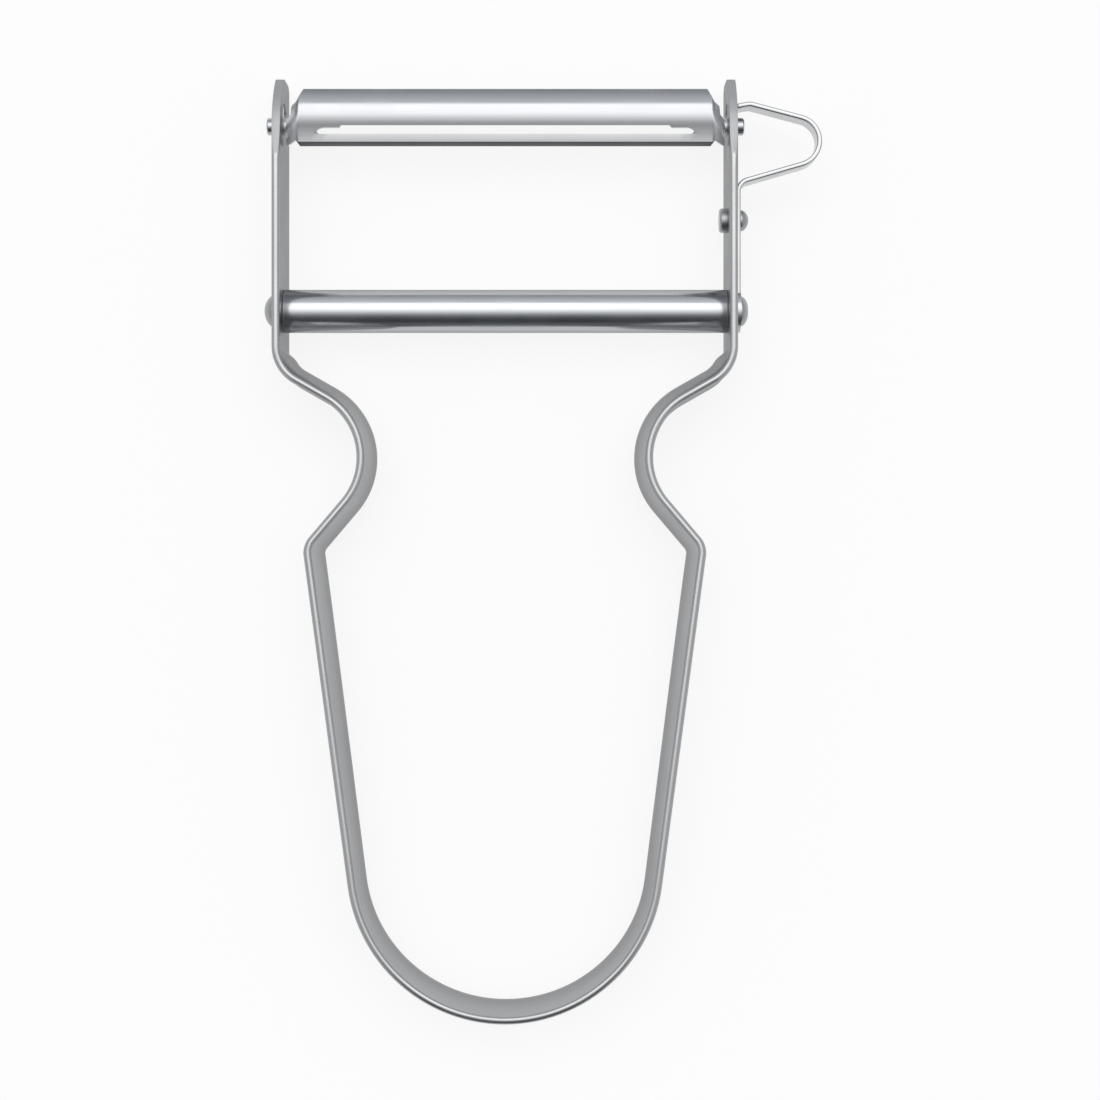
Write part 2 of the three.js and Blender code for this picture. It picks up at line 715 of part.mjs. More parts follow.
// Right half of the slot: the ground lip, the longer unground lip and the rounded end.
function slotHalf() {
  const lowerLip = lip.x - UNGROUND_LIP;
  const side = railTop.x + SLOT_END_ROUND;
  const half = [[groundHalfLength, lip.x], [groundHalfLength + UNGROUND_LIP, lowerLip]];
  [90, 67.5, 45, 22.5, 0].forEach((turn) => {
    const round = heading(turn);
    half.push([slotHalfLength - SLOT_END_RUN * (1 - round.x), side + (lowerLip - side) * round.y]);
  });
  half.push([slotHalfLength - SLOT_END_ROUND, railTop.x]);
  return half;
}

function blankTool() {
  const settings = { depth: STRIP_WIDTH, bevelEnabled: false };
  const geometry = new THREE.ExtrudeGeometry(blankOutline(), settings);
  geometry.translate(0, pivotHeight, 0);
  return solid(geometry);
}

// Wedge behind the lip that leaves it ground to an edge.
function bevelTool() {
  const start = point(midDepth + lip.y - BEVEL_EDGE, pivotHeight + lip.x);
  const run = heading(90 + BEVEL_ANGLE).multiplyScalar(TROUGH_RADIUS / 2);
  const shape = new THREE.Shape();
  shape.moveTo(start.x, start.y - SLOT_WIDTH / 2);
  shape.lineTo(start.x, start.y);
  shape.lineTo(start.x + run.x, start.y + run.y);
  shape.lineTo(start.x + run.x, start.y - SLOT_WIDTH / 2);
  return acrossFrame(shape, -groundHalfLength, groundHalfLength);
}

function trunnion() {
  const end = ARM_HALF_WIDTH + TRUNNION_PROJECTION;
  const root = webEnd - TRUNNION_ROOT;
  const profile = [point(0, root), point(TRUNNION_RADIUS, root)];
  [0, 30, 60, 90].forEach((turn) => {
    const round = heading(turn).multiplyScalar(TRUNNION_ROUND);
    profile.push(point(TRUNNION_RADIUS - TRUNNION_ROUND + round.x, end - TRUNNION_ROUND + round.y));
  });
  profile.push(point(0, end));
  const key = new THREE.BoxGeometry(KEY_LENGTH, keyReach, KEY_WIDTH);
  key.translate(innerHalfWidth + STRIP_THICKNESS / 2, pivotHeight + keyReach / 2, midDepth);
  return turned(profile, pivotHeight, midDepth).add(solid(key));
}

function swivelBlade() {
  return formedSheet().intersect(blankTool()).subtract(bevelTool()).add(bothSides(trunnion()));
}

// Materials

function metal(color, roughness) {
  return new THREE.MeshStandardMaterial({ color, roughness, metalness: 1 });
}

function named(name, body, material) {
  const mesh = new THREE.Mesh(geometryOf(body), material);
  mesh.name = name;
  return mesh;
}

const peeler = new THREE.Group();
peeler.name = 'swivel_peeler';
peeler.add(named('frame_strap', frameStrap(), metal(0xb4b7ba, 0.42)));
peeler.add(named('swivel_blade', swivelBlade(), metal(0xc9cdd2, 0.2)));
peeler.add(named('spacer_tube', spacerTube(), metal(0xc0c5cb, 0.25)));
peeler.add(named('tie_rivet', tieRivet(), metal(0xa9acb0, 0.35)));
peeler.add(named('eye_remover', eyeRemover(), metal(0xd4d6d8, 0.28)));
peeler.add(named('eye_remover_rivet', eyeRemoverRivet(), metal(0xa4a7aa, 0.35)));

// The origin lies under the middle of the whole tool, on the surface it rests on.
const bounds = new THREE.Box3().setFromObject(peeler);
const middle = bounds.getCenter(new THREE.Vector3());
peeler.children.forEach((mesh) => mesh.geometry.translate(-middle.x, -middle.y, -bounds.min.z));

export default peeler;
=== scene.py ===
"""Yoke vegetable peeler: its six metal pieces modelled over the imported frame, on a white table."""

import math

import bmesh
import bpy
from bpy.props import FloatProperty, FloatVectorProperty, PointerProperty
from mathutils import Matrix, Vector


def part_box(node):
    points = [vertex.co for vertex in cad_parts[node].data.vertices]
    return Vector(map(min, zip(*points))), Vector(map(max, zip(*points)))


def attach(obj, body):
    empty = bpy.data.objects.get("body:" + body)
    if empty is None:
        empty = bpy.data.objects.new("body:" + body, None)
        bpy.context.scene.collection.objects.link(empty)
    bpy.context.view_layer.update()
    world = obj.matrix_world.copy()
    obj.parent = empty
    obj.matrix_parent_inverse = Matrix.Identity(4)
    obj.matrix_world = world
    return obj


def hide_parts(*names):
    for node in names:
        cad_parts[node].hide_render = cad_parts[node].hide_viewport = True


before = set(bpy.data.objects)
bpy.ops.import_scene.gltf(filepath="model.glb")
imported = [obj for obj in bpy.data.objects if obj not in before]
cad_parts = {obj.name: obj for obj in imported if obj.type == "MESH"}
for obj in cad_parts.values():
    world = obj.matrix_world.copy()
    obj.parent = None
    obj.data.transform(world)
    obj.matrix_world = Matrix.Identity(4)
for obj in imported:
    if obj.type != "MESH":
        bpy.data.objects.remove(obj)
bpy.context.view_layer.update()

bl_info = {
    "name": "Yoke Vegetable Peeler",
    "version": (1, 0, 0),
    "blender": (4, 5, 0),
    "location": "View3D > Sidebar > Peeler",
    "description": "Models the strap, blade, tube, rivets and eye remover of a metal peeler",
    "category": "Add Mesh",
}

STRAP_LOW, STRAP_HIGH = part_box("frame_strap")
MID_DEPTH = (STRAP_LOW.z + STRAP_HIGH.z) / 2
FRAME_AXIS = (STRAP_LOW.x + STRAP_HIGH.x) / 2

MM = 0.001
SAME_PLACE = 1e-6
CUT_OVERLAP = 1 * MM

# Modelling: gaps between moving or riveted pieces, small roundings and counts of steps
BEARING_PLAY = 0.08 * MM
RIVET_PLAY = 0.05 * MM
KEY_PLAY = 0.3 * MM
KEY_LENGTH = 0.7 * MM
LEAST_DISH = math.radians(0.01)
STRIP_RUN = 3 * MM
STRAP_BEND_STEP = math.radians(3)
LOOP_BEND_STEP = math.radians(5)
STRAP_COLUMNS = 14
LOOP_COLUMNS = 4
BLADE_COLUMNS = 40
ROUNDING_STEPS = 8
EAR_STEPS = 10
EAR_BEND_SHARE = 0.4
WINDOW_STEPS = 16
PIN_END_STEPS = 4
DISC_STEPS = 6
DOME_STEPS = 14
FOLD_SUPPORT = 0.15 * MM
FOLD_SOFTNESS = 0.3
FOLD_STEPS = 10
LIP_STEPS = 2
TROUGH_STEPS = 12
PIN_STEPS = 48
RIVET_STEPS = 64
TUBE_SIDES = 96
END_FACING = 0.9
SLOT_CORNER = 0.25 * MM
SLOT_END = 1 * MM
EDGE_LAND = 0.06 * MM
EDGE_BREAK = 0.06 * MM
STRAP_EDGE_BREAK = 0.12 * MM
TUBE_EDGE_BREAK = 0.14 * MM
LOOP_EDGE_ROUND = 0.2 * MM
TRUNNION_ROOT = 1.2 * MM
TRUNNION_ROUND = 0.25 * MM
DISC_ROUND = 0.35 * MM
DIMPLE_DEPTH = 0.5 * MM
DIMPLE_FLOOR = 0.6

# Corners of the blank: distance in from the web's end and rise, or rise over the rail's foot
TOP_CORNER_IN = 2.1 * MM
WEB_CORNERS = ((1.3 * MM, 2.7 * MM), (0.65 * MM, 2.3 * MM), (0.55 * MM, 1.2 * MM))
WEB_NECK = 0.65 * MM
RAIL_CORNER_IN = 1.75 * MM
RAIL_CHAMFER = (1.2 * MM, 0.7 * MM)

# Finishes: each noise has its scale, detail, roughness and the levels that it spans
DRAWN_GRAIN = {"Lines": (1.0, 4.0, 0.65, 0.0, 1.0), "Unevenness": (0.35, 2.0, 0.5, 0.0, 1.0)}
HANDLING_MARKS = {"Patches": (140.0, 3.0, 0.55, 0.38, 0.7), "Pits": (2600.0, 2.0, 0.6, 0.0, 1.0)}
UNEVEN_SHARE = 0.5
RELIEF_STRENGTH = 0.35
RELIEF_DEPTH = 0.006 * MM
BROAD_FACING = (0.5, 0.8)
EAR_START = (103.5 * MM, 104.1 * MM)
EAR_ROUGHNESS = 0.55
# Painted light on the webs: a paler base colour brightens the folded webs where they mirror the dark
# ears. It fades in over this run past the fold.
WEB_PAINTED_LIGHT_START = (0.2 * MM, 0.7 * MM)
WEB_ROUGHNESS = 0.45
PIN_START = 0.2 * MM
PIN_ROUGHNESS = 0.2

# Studio: the sky is given by degrees from the zenith towards the blade end
TABLE_SIZE = 60
WHITE_SHARE = 0.85
SKY = (
    (-90, (0.09, 0.095, 0.1)),
    (-60, (0.02, 0.021, 0.022)),
    (-40, (0.045, 0.047, 0.049)),
    (-28, (0.11, 0.113, 0.116)),
    (-18, (0.23, 0.233, 0.236)),
    (0, (0.58, 0.58, 0.58)),
    (12, (0.8, 0.8, 0.8)),
    (36, (0.86, 0.86, 0.86)),
    (42, (0.37, 0.382, 0.398)),
    (66, (0.26, 0.27, 0.282)),
    (90, (0.15, 0.157, 0.165)),
)
ROOM = (0.25, 0.255, 0.26, 1)
ROOM_START = (0.42, 0.66)
HORIZON = (0.37, 0.37, 0.37, 1)
HORIZON_END = (0.006, 0.01)
LIGHT_STRENGTH = 2.7
CAMERA_PLACE = (0.00088, -0.00025, 0.263)
CAMERA_LENS = 69.6
CAMERA_SENSOR = 36
CAMERA_NEAR = 0.01


def length(name, millimetres, description):
    return FloatProperty(
        name=name,
        description=description,
        default=millimetres * MM,
        precision=5,
        subtype="DISTANCE",
        unit="LENGTH",
    )


def angle(name, degrees, description):
    return FloatProperty(
        name=name,
        description=description,
        default=math.radians(degrees),
        subtype="ANGLE",
        unit="ROTATION",
    )


def colour(name, shade, description):
    return FloatVectorProperty(
        name=name,
        description=description,
        default=shade,
        size=3,
        min=0,
        max=1,
        subtype="COLOR",
    )


class PeelerStrapSizes(bpy.types.PropertyGroup):
    """Sizes of the bent strip that is both handle and yoke."""

    thickness: length("Thickness", 1, "Thickness of the strip")
    width: length("Width", 10, "Width of the strip, from the table up")
    edge_round: length("Edge round", 0.44, "Rounding of the long edges")
    bow_radius: length("Bow radius", 18.9, "Outer radius of the closed end of the handle")
    side_taper: angle("Side taper", 7.6, "Lean of the handle sides away from the axis")
    knee_height: length("Knee height", 57.1, "Height of the corner between handle and neck")
    knee_radius: length("Knee radius", 2.9, "Outer radius of the knee")
    neck_slope: angle("Neck slope", 40.3, "Lean of the neck towards the axis")
    waist_radius: length("Waist radius", 7.8, "Outer radius of the waist")
    shoulder_slope: angle("Shoulder slope", 29.7, "Rise of the shoulders")
    shoulder_height: length("Shoulder height", 77.9, "Height of the shoulder corner")
    shoulder_radius: length("Shoulder radius", 5.1, "Outer radius of the shoulder")
    arm_half_width: length("Arm half width", 27.8, "Axis to the outer face of an arm")
    neck_dish: angle("Neck dish", 31, "Turn of the strip's section at the knee")
    bow_dish: angle("Bow dish", 22.5, "Turn of the strip's section at the bow")
    dish_fade: length("Dish fade", 2.6, "Length over which the dish runs out at the arms")
    tip_height: length("Tip height", 113.601, "Height of the ear tips")
    ear_runout_drop: length("Ear runout drop", 10.3, "Tip down to the start of the ear's slope")
    ear_bend_drop: length("Ear bend drop", 4.1, "Tip down to the bend in the ear's slope")
    ear_bend_depth: length("Ear bend depth", 0.6, "Set-back of the slope at its bend")
    ear_top_depth: length("Ear top depth", 3.9, "Set-back of the slope at the tip")
    ear_flat_depth: length("Ear flat depth", 5, "Set-back of the flat top")
    ear_back_radius: length("Ear back radius", 1.75, "Rounding of the ear's rear corner")


class PeelerBladeSizes(bpy.types.PropertyGroup):
    """Sizes of the stamped blade, from the axis of its trunnions."""

    pivot_height: length("Pivot height", 107.901, "Height of the trunnion axis")
    sheet: length("Sheet", 0.5, "Thickness of the sheet")
    trough_radius: length("Trough radius", 4.8, "Radius of the front of the trough")
    trough_rise: length("Trough rise", 1.28, "Trunnion axis up to the crown of the trough")
    crown_front: length("Crown front", 2.2, "Trunnion axis forward to the crown")
    top_turn: angle("Top turn", 40, "Turn of the trough from its crown to its top edge")
    ridge_turn: angle("Ridge turn", -8.1, "Turn where the ridges of the webs begin")
    lip_turn: angle("Lip turn", -17.9, "Turn of the trough from its crown to the lip")
    slot_width: length("Slot width", 0.98, "Opening between the lip and the rail")
    rail_setback: length("Rail set-back", 0.26, "Lip back to the top of the rail")
    rail_height: length("Rail height", 0.92, "Height of the rail's upper facet")
    rail_lean: length("Rail lean", -0.15, "Forward lean of the upper facet")
    foot_height: length("Foot height", 0.52, "Height of the rail's lower facet")
    foot_lean: length("Foot lean", 0.23, "Backward lean of the lower facet")
    web_end: length("Web end", 26.5, "Axis of the frame to the end of the sheet")
    web_length: length("Web length", 1.75, "Length of the folded webs")
    web_top_rise: length("Web top rise", 2.2, "Trunnion axis up to the top of the web's end")
    web_top_front: length("Web top front", 0.3, "Trunnion axis forward to the top of the web's end")
    web_ridge_rise: length("Web ridge rise", -1.3, "Trunnion axis up to the web's ridge")
    web_ridge_front: length("Web ridge front", 1.6, "Trunnion axis forward to the web's ridge")
    web_foot_rise: length("Web foot rise", -2.5, "Trunnion axis up to the foot of the web")
    web_foot_front: length("Web foot front", 0.5, "Trunnion axis forward to the foot of the web")
    ground_half: length("Ground half length", 19.8, "Half of the ground edge")
    slot_half: length("Slot half length", 22.75, "Half of the slot")
    grind_angle: angle("Grind angle", 21, "Angle of the ground edge")
    trunnion_radius: length("Trunnion radius", 1.05, "Radius of the trunnions")
    trunnion_reach: length("Trunnion reach", 1.1, "Trunnion beyond the outer face of the arm")
    key_width: length("Key width", 1, "Width of the stop key")
    key_reach: length("Key reach", 2.45, "Trunnion axis to the end of the stop key")
    swing: angle("Swing", 30, "Swing of the blade to each side")


class PeelerHardwareSizes(bpy.types.PropertyGroup):
    """Sizes of the tube, the rivets and the eye remover."""

    tube_height: length("Tube height", 85.503, "Height of the tube's axis")
    tube_radius: length("Tube radius", 2.6, "Outer radius of the tube")
    tube_bore: length("Tube bore", 1.6, "Radius of the tube's bore")
    tie_radius: length("Tie radius", 1.4, "Radius of the tie rivet's shank")
    tie_head: length("Tie head", 2, "Radius of the tie rivet's head")
    tie_rise: length("Tie rise", 1.42, "Height of the tie rivet's head")
    clinch_radius: length("Clinch radius", 1.85, "Radius of the clinched end")
    clinch_rise: length("Clinch rise", 1.05, "Height of the clinched end")
    clinch_dimple: length("Clinch dimple", 0.8, "Radius of the dimple in the clinched end")
    rivet_height: length("Rivet height", 96.503, "Height of the small rivet")
    rivet_radius: length("Rivet radius", 0.8, "Radius of the small rivet's shank")
    rivet_head: length("Rivet head", 1.3, "Radius of the small rivet's dome")
    rivet_rise: length("Rivet rise", 1.03, "Height of the small rivet's dome")
    rivet_disc: length("Rivet disc", 1.48, "Radius of the small rivet's disc")
    rivet_disc_rise: length("Rivet disc rise", 0.9, "Height of the small rivet's disc")
    loop_sheet: length("Loop sheet", 0.6, "Thickness of the eye remover's strip")
    loop_width: length("Loop width", 3.2, "Width of the eye remover's strip")
    loop_eye: length("Loop eye", 2.6, "Radius of the eye at the foot of the leg")
    loop_root: length("Loop root", 100.901, "Height of the corner where the loop leaves the arm")
    loop_root_radius: length("Loop root radius", 1.5, "Radius of that corner")
    loop_lower_slope: angle("Loop lower slope", 16.1, "Rise of the lower limb")
    loop_upper_slope: angle("Loop upper slope", 14.8, "Fall of the upper limb")
    loop_nose_radius: length("Loop nose radius", 2.92, "Radius of the nose of the loop")
    loop_tip: length("Loop tip", 110.101, "Height of the free tip")
    loop_tip_gap: length("Loop tip gap", 0.12, "Gap between the free tip and the ear")
    loop_bend_reach: length("Loop bend reach", 1.75, "Ear out to the bend before the tip")
    loop_bend_radius: length("Loop bend radius", 1.6, "Radius of the bend before the tip")
    loop_drop: length("Loop drop", 0.3, "Bend down to the free tip")


class PeelerFinish(bpy.types.PropertyGroup):
    """Colours of the metals and of the table, with a paler colour painted on the blade's webs as
    painted light.
    """

    strap: colour("Strap", (0.43, 0.434, 0.442), "Satin aluminium of the strap")
    ear: colour("Ears", (0.43, 0.434, 0.442), "Sheared aluminium of the ears")
    blade: colour("Blade", (0.43, 0.438, 0.45), "Polished steel of the blade")
    # The webs' colour is painted light: a paler base that brightens the folded webs where they
    # mirror the dark ears.
    web: colour("Webs", (0.8, 0.81, 0.83), "Stretched steel of the blade's webs")
    tube: colour("Tube", (0.5, 0.513, 0.53), "Plated steel of the tube")
    rivet: colour("Rivets", (0.36, 0.364, 0.372), "Metal of the rivets")
    loop: colour("Eye remover", (0.48, 0.484, 0.492), "Steel of the eye remover")
    table: colour("Table", (0.93, 0.93, 0.93), "White table")


def sizes_of(context):
    scene = context.scene
    return scene.peeler_strap, scene.peeler_blade, scene.peeler_hardware, scene.peeler_finish


def heading(turn):
    return Vector((math.cos(turn), math.sin(turn)))


def crossing(start, direction, other, other_direction):
    gap = other - start
    share = gap.cross(other_direction) / direction.cross(other_direction)
    return start + direction * share


def smooth_share(value, start, end):
    share = min(max((value - start) / (end - start), 0), 1)
    return share * share * (3 - 2 * share)


# Modelling steps


def deselect_all():
    if bpy.context.object and bpy.context.object.mode != "OBJECT":
        bpy.ops.object.mode_set(mode="OBJECT")
    bpy.ops.object.select_all(action="DESELECT")


def start_editing(piece):
    deselect_all()
    piece.select_set(True)
    bpy.context.view_layer.objects.active = piece
    bpy.ops.object.mode_set(mode="EDIT")
    bpy.ops.mesh.select_mode(type="VERT")
    bpy.ops.mesh.select_all(action="DESELECT")


def stop_editing():
    bpy.ops.object.mode_set(mode="OBJECT")


def select_points(piece, wanted):
    """Selects the vertices at the wanted places, with the edges and faces between them."""
    bpy.ops.mesh.select_all(action="DESELECT")
    mesh = bmesh.from_edit_mesh(piece.data)
    for point in mesh.verts:
        point.select_set(bool(wanted(point.co)))
    mesh.select_flush(True)
    bmesh.update_edit_mesh(piece.data)


def close_sheet(piece):
    """Merges doubled points and lets all faces point the same way."""
    start_editing(piece)
    bpy.ops.mesh.select_all(action="SELECT")
    bpy.ops.mesh.remove_doubles(threshold=SAME_PLACE)
    bpy.ops.mesh.normals_make_consistent(inside=False)
    stop_editing()


def face_along(piece, direction, wanted):
    """Turns a sheet over if its face at the wanted place looks away from the direction."""
    face = max(piece.data.polygons, key=lambda one: wanted(one.center))
    if face.normal.dot(direction) < 0:
        start_editing(piece)
        bpy.ops.mesh.select_all(action="SELECT")
        bpy.ops.mesh.flip_normals()
        stop_editing()


def modify(piece, kind, **settings):
    deselect_all()
    piece.select_set(True)
    bpy.context.view_layer.objects.active = piece
    modifier = piece.modifiers.new(kind.title(), kind)
    for name, value in settings.items():
        setattr(modifier, name, value)
    bpy.ops.object.modifier_apply(modifier=modifier.name)


def round_edges(piece, width, segments, degrees):
    """Rounds all edges that are sharper than the given angle."""
    sharp = math.radians(degrees)
    modify(
        piece, "BEVEL", width=width, segments=segments, limit_method="ANGLE", angle_limit=sharp
    )


def combine(piece, tool, operation):
    modify(piece, "BOOLEAN", object=tool, operation=operation, solver="EXACT")
    bpy.data.objects.remove(tool)


def extrude_by(move):
    bpy.ops.mesh.extrude_region_move(TRANSFORM_OT_translate={"value": tuple(move)})


def new_piece(name):
    piece = bpy.context.object
    piece.name = name
    piece.data.name = name
    return piece


def place_grid(name, middle, across, along, columns, rows):
    """A flat grid of sheet around its middle, spanned by two vectors."""
    deselect_all()
    bpy.ops.mesh.primitive_grid_add(x_subdivisions=columns, y_subdivisions=rows, size=1)
    piece = new_piece(name)
    upright = across.cross(along).normalized()
    turn = Matrix((across, along, upright)).transposed().to_4x4()
    piece.matrix_world = Matrix.Translation(middle) @ turn
    bpy.ops.object.transform_apply(location=True, rotation=True, scale=True)
    return piece


def rounded_corner(before, corner, after, radius):
    back = (before - corner).normalized()
    on = (after - corner).normalized()
    half = back.angle(on) / 2
    run = radius / math.tan(half)
    centre = corner + (back + on).normalized() * (radius / math.sin(half))
    turn = math.pi - 2 * half
    if back.cross(on) > 0:
        turn = -turn
    return corner + back * run, corner + on * run, centre, turn


def draw_strip(name, stops, low, high, columns, turn_step):
    """Draws a ribbon standing on its edge along straight runs and rounded corners.

    Each stop is a place in the plane of the frame and the radius of its corner."""
    places = [place for place, _ in stops]
    bends = [
        rounded_corner(places[i - 1], places[i], places[i + 1], stops[i][1])
        for i in range(1, len(stops) - 1)
    ]
    first_run = (bends[0][0] - places[0]).to_3d()
    middle = ((places[0] + bends[0][0]) / 2).to_3d() + Vector((0, 0, (low + high) / 2))
    rows = max(1, math.ceil(first_run.length / STRIP_RUN))
    strip = place_grid(name, middle, Vector((0, 0, high - low)), first_run, columns, rows)
    start_editing(strip)
    select_points(strip, lambda spot: (spot.to_2d() - bends[0][0]).length < SAME_PLACE)
    for i, (_, end, centre, turn) in enumerate(bends):
        steps = max(2, math.ceil(abs(turn) / turn_step))
        bpy.ops.mesh.spin(steps=steps, angle=-turn, center=(*centre, 0), axis=(0, 0, 1))
        goal = bends[i + 1][0] if i + 1 < len(bends) else places[-1]
        run = (goal - end).to_3d()
        parts = math.ceil(run.length / STRIP_RUN) if run.length > SAME_PLACE else 0
        for _ in range(parts):
            extrude_by(run / parts)
    stop_editing()
    close_sheet(strip)
    return strip


def slab(name, outline, move):
    """A flat outline carried along a straight move: the shape of a cutting tool."""
    mesh = bpy.data.meshes.new(name)
    mesh.from_pydata([tuple(spot) for spot in outline], [], [range(len(outline))])
    tool = bpy.data.objects.new(name, mesh)
    bpy.context.scene.collection.objects.link(tool)
    start_editing(tool)
    bpy.ops.mesh.select_all(action="SELECT")
    extrude_by(move)
    bpy.ops.mesh.select_all(action="SELECT")
    bpy.ops.mesh.normals_make_consistent(inside=False)
    stop_editing()
    return tool


def across_frame(name, outline, start, end):
    """A slab across the frame, from an outline of depths and heights."""
    spots = [(start, height, depth) for depth, height in outline]
    return slab(name, spots, (end - start, 0, 0))


def turned(name, profile, height, steps=RIVET_STEPS):
    """A profile of places along X and radii, spun about the X axis at the given height."""
    mesh = bpy.data.meshes.new(name)
    spots = [(x, height, MID_DEPTH + radius) for x, radius in profile]
    mesh.from_pydata(spots, [(i, i + 1) for i in range(len(spots) - 1)], [])
    piece = bpy.data.objects.new(name, mesh)
    bpy.context.scene.collection.objects.link(piece)
    start_editing(piece)
    bpy.ops.mesh.select_all(action="SELECT")
    bpy.ops.mesh.spin(
        steps=steps, angle=2 * math.pi, center=(0, height, MID_DEPTH), axis=(1, 0, 0)
    )
    stop_editing()
    close_sheet(piece)
    return piece


def pin(name, radius, start, end, height):
    profile = [(start, 0), (start, radius), (end, radius), (end, 0)]
    return turned(name, profile, height, PIN_STEPS)


def finish_piece(piece, body, node, finish, crease):
    """Sets a finished piece into the frame's place with its metal."""
    deselect_all()
    piece.select_set(True)
    bpy.context.view_layer.objects.active = piece
    strap = bpy.context.scene.peeler_strap
    piece.location = (FRAME_AXIS, STRAP_HIGH.y - strap.tip_height, 0)
    bpy.ops.object.transform_apply(location=True, rotation=True, scale=True)
    bpy.ops.object.shade_smooth_by_angle(angle=math.radians(crease))
    piece.data.materials.clear()
    piece.data.materials.append(finish)
    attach(piece, body)
    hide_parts(node)


# Metals


def feed(tree, node, inputs):
    """Gives a node's inputs plain values or other nodes' outputs."""
    for name, value in inputs.items():
        if isinstance(value, bpy.types.NodeSocket):
            tree.links.new(value, node.inputs[name])
        else:
            node.inputs[name].default_value = value


def wire(tree, kind, inputs=None, **settings):
    node = tree.nodes.new(kind)
    for name, value in settings.items():
        setattr(node, name, value)
    feed(tree, node, inputs or {})
    return node


def result(node):
    """The first output that a node has in use."""
    return next(way for way in node.outputs if way.enabled)


def number(tree, operation, *values):
    return result(wire(tree, "ShaderNodeMath", dict(enumerate(values)), operation=operation))


def blend(tree, kind, factor, first, second):
    """Mixes two colours, of the kind RGBA, or two numbers, of the kind FLOAT."""
    inputs = {"Factor": factor, "A": first, "B": second}
    return result(wire(tree, "ShaderNodeMix", inputs, data_type=kind))


def remap(tree, value, start, end, low=0.0, high=1.0, way="LINEAR"):
    inputs = {"Value": value, "From Min": start, "From Max": end, "To Min": low, "To Max": high}
    return result(wire(tree, "ShaderNodeMapRange", inputs, interpolation_type=way))


def soft_step(tree, value, start, end, low=0.0, high=1.0):
    """Goes from the low to the high level while the size of a value passes the step."""
    return remap(tree, number(tree, "ABSOLUTE", value), start, end, low, high, "SMOOTHSTEP")


def noise_group(name, noises):
    """A shared effect of named noises over one vector."""
    group = bpy.data.node_groups.get(name)
    if group:
        return group
    group = bpy.data.node_groups.new(name, "ShaderNodeTree")
    new_socket = group.interface.new_socket
    new_socket(name="Vector", in_out="INPUT", socket_type="NodeSocketVector")
    for title in noises:
        new_socket(name=title, in_out="OUTPUT", socket_type="NodeSocketFloat")
    given = wire(group, "NodeGroupInput")
    put_out = wire(group, "NodeGroupOutput")
    for title, (scale, detail, roughness, low, high) in noises.items():
        inputs = {"Scale": scale, "Detail": detail, "Roughness": roughness}
        noise = wire(group, "ShaderNodeTexNoise", {"Vector": result(given), **inputs})
        feed(group, put_out, {title: remap(group, noise.outputs["Fac"], low, high)})
    return group


def metal(name, shade, stretch, rough, grain, pitting, edge=1.0):
    """A bare metal with lines stretched along the piece, dull patches and fine pits.

    A low edge dims what it mirrors at grazing angles."""
    material = bpy.data.materials.new(name)
    material.use_nodes = True
    tree = material.node_tree
    place = wire(tree, "ShaderNodeTexCoord").outputs["Object"]
    stretched = result(wire(tree, "ShaderNodeMapping", {"Vector": place, "Scale": stretch}))
    grain_group = noise_group("drawn_grain", DRAWN_GRAIN)
    lines = wire(tree, "ShaderNodeGroup", node_tree=grain_group)
    feed(tree, lines, {"Vector": stretched})
    marks_group = noise_group("handling_marks", HANDLING_MARKS)
    marks = wire(tree, "ShaderNodeGroup", node_tree=marks_group)
    feed(tree, marks, {"Vector": place})
    dark = (*[value * (1 - grain) for value in shade], 1)
    light = (*[min(1, value * (1 + grain)) for value in shade], 1)
    uneven, patches = lines.outputs["Unevenness"], marks.outputs["Patches"]
    dull = number(tree, "MULTIPLY_ADD", uneven, UNEVEN_SHARE, patches)
    height = blend(tree, "FLOAT", pitting, lines.outputs["Lines"], marks.outputs["Pits"])
    relief = {"Height": height, "Strength": RELIEF_STRENGTH, "Distance": RELIEF_DEPTH}
    surface = {
        "Metallic": 1.0,
        "Specular Tint": (edge, edge, edge, 1),
        "Base Color": blend(tree, "RGBA", lines.outputs["Lines"], dark, light),
        "Roughness": remap(tree, dull, 0.0, 1.0, *rough),
        "Normal": result(wire(tree, "ShaderNodeBump", relief)),
    }
    feed(tree, tree.nodes["Principled BSDF"], surface)
    return material


def change_beyond(material, axis, middle, step, shade, rough, edges_only=False):
    """Gives a metal another shade and sheen beyond a distance from the middle of its piece."""
    tree = material.node_tree
    surface = tree.nodes["Principled BSDF"]
    place = wire(tree, "ShaderNodeTexCoord").outputs
    spot = wire(tree, "ShaderNodeSeparateXYZ", {"Vector": place["Object"]})
    share = soft_step(tree, number(tree, "SUBTRACT", spot.outputs[axis], middle), *step)
    if edges_only:
        facing = wire(tree, "ShaderNodeSeparateXYZ", {"Vector": place["Normal"]})
        cut = soft_step(tree, facing.outputs["X"], *BROAD_FACING, 1.0, 0.0)
        share = number(tree, "MULTIPLY", share, cut)
    for name, kind, goal in (("Base Color", "RGBA", (*shade, 1)), ("Roughness", "FLOAT", rough)):
        given = surface.inputs[name].links[0].from_socket
        feed(tree, surface, {name: blend(tree, kind, share, given, goal)})


# Frame strap


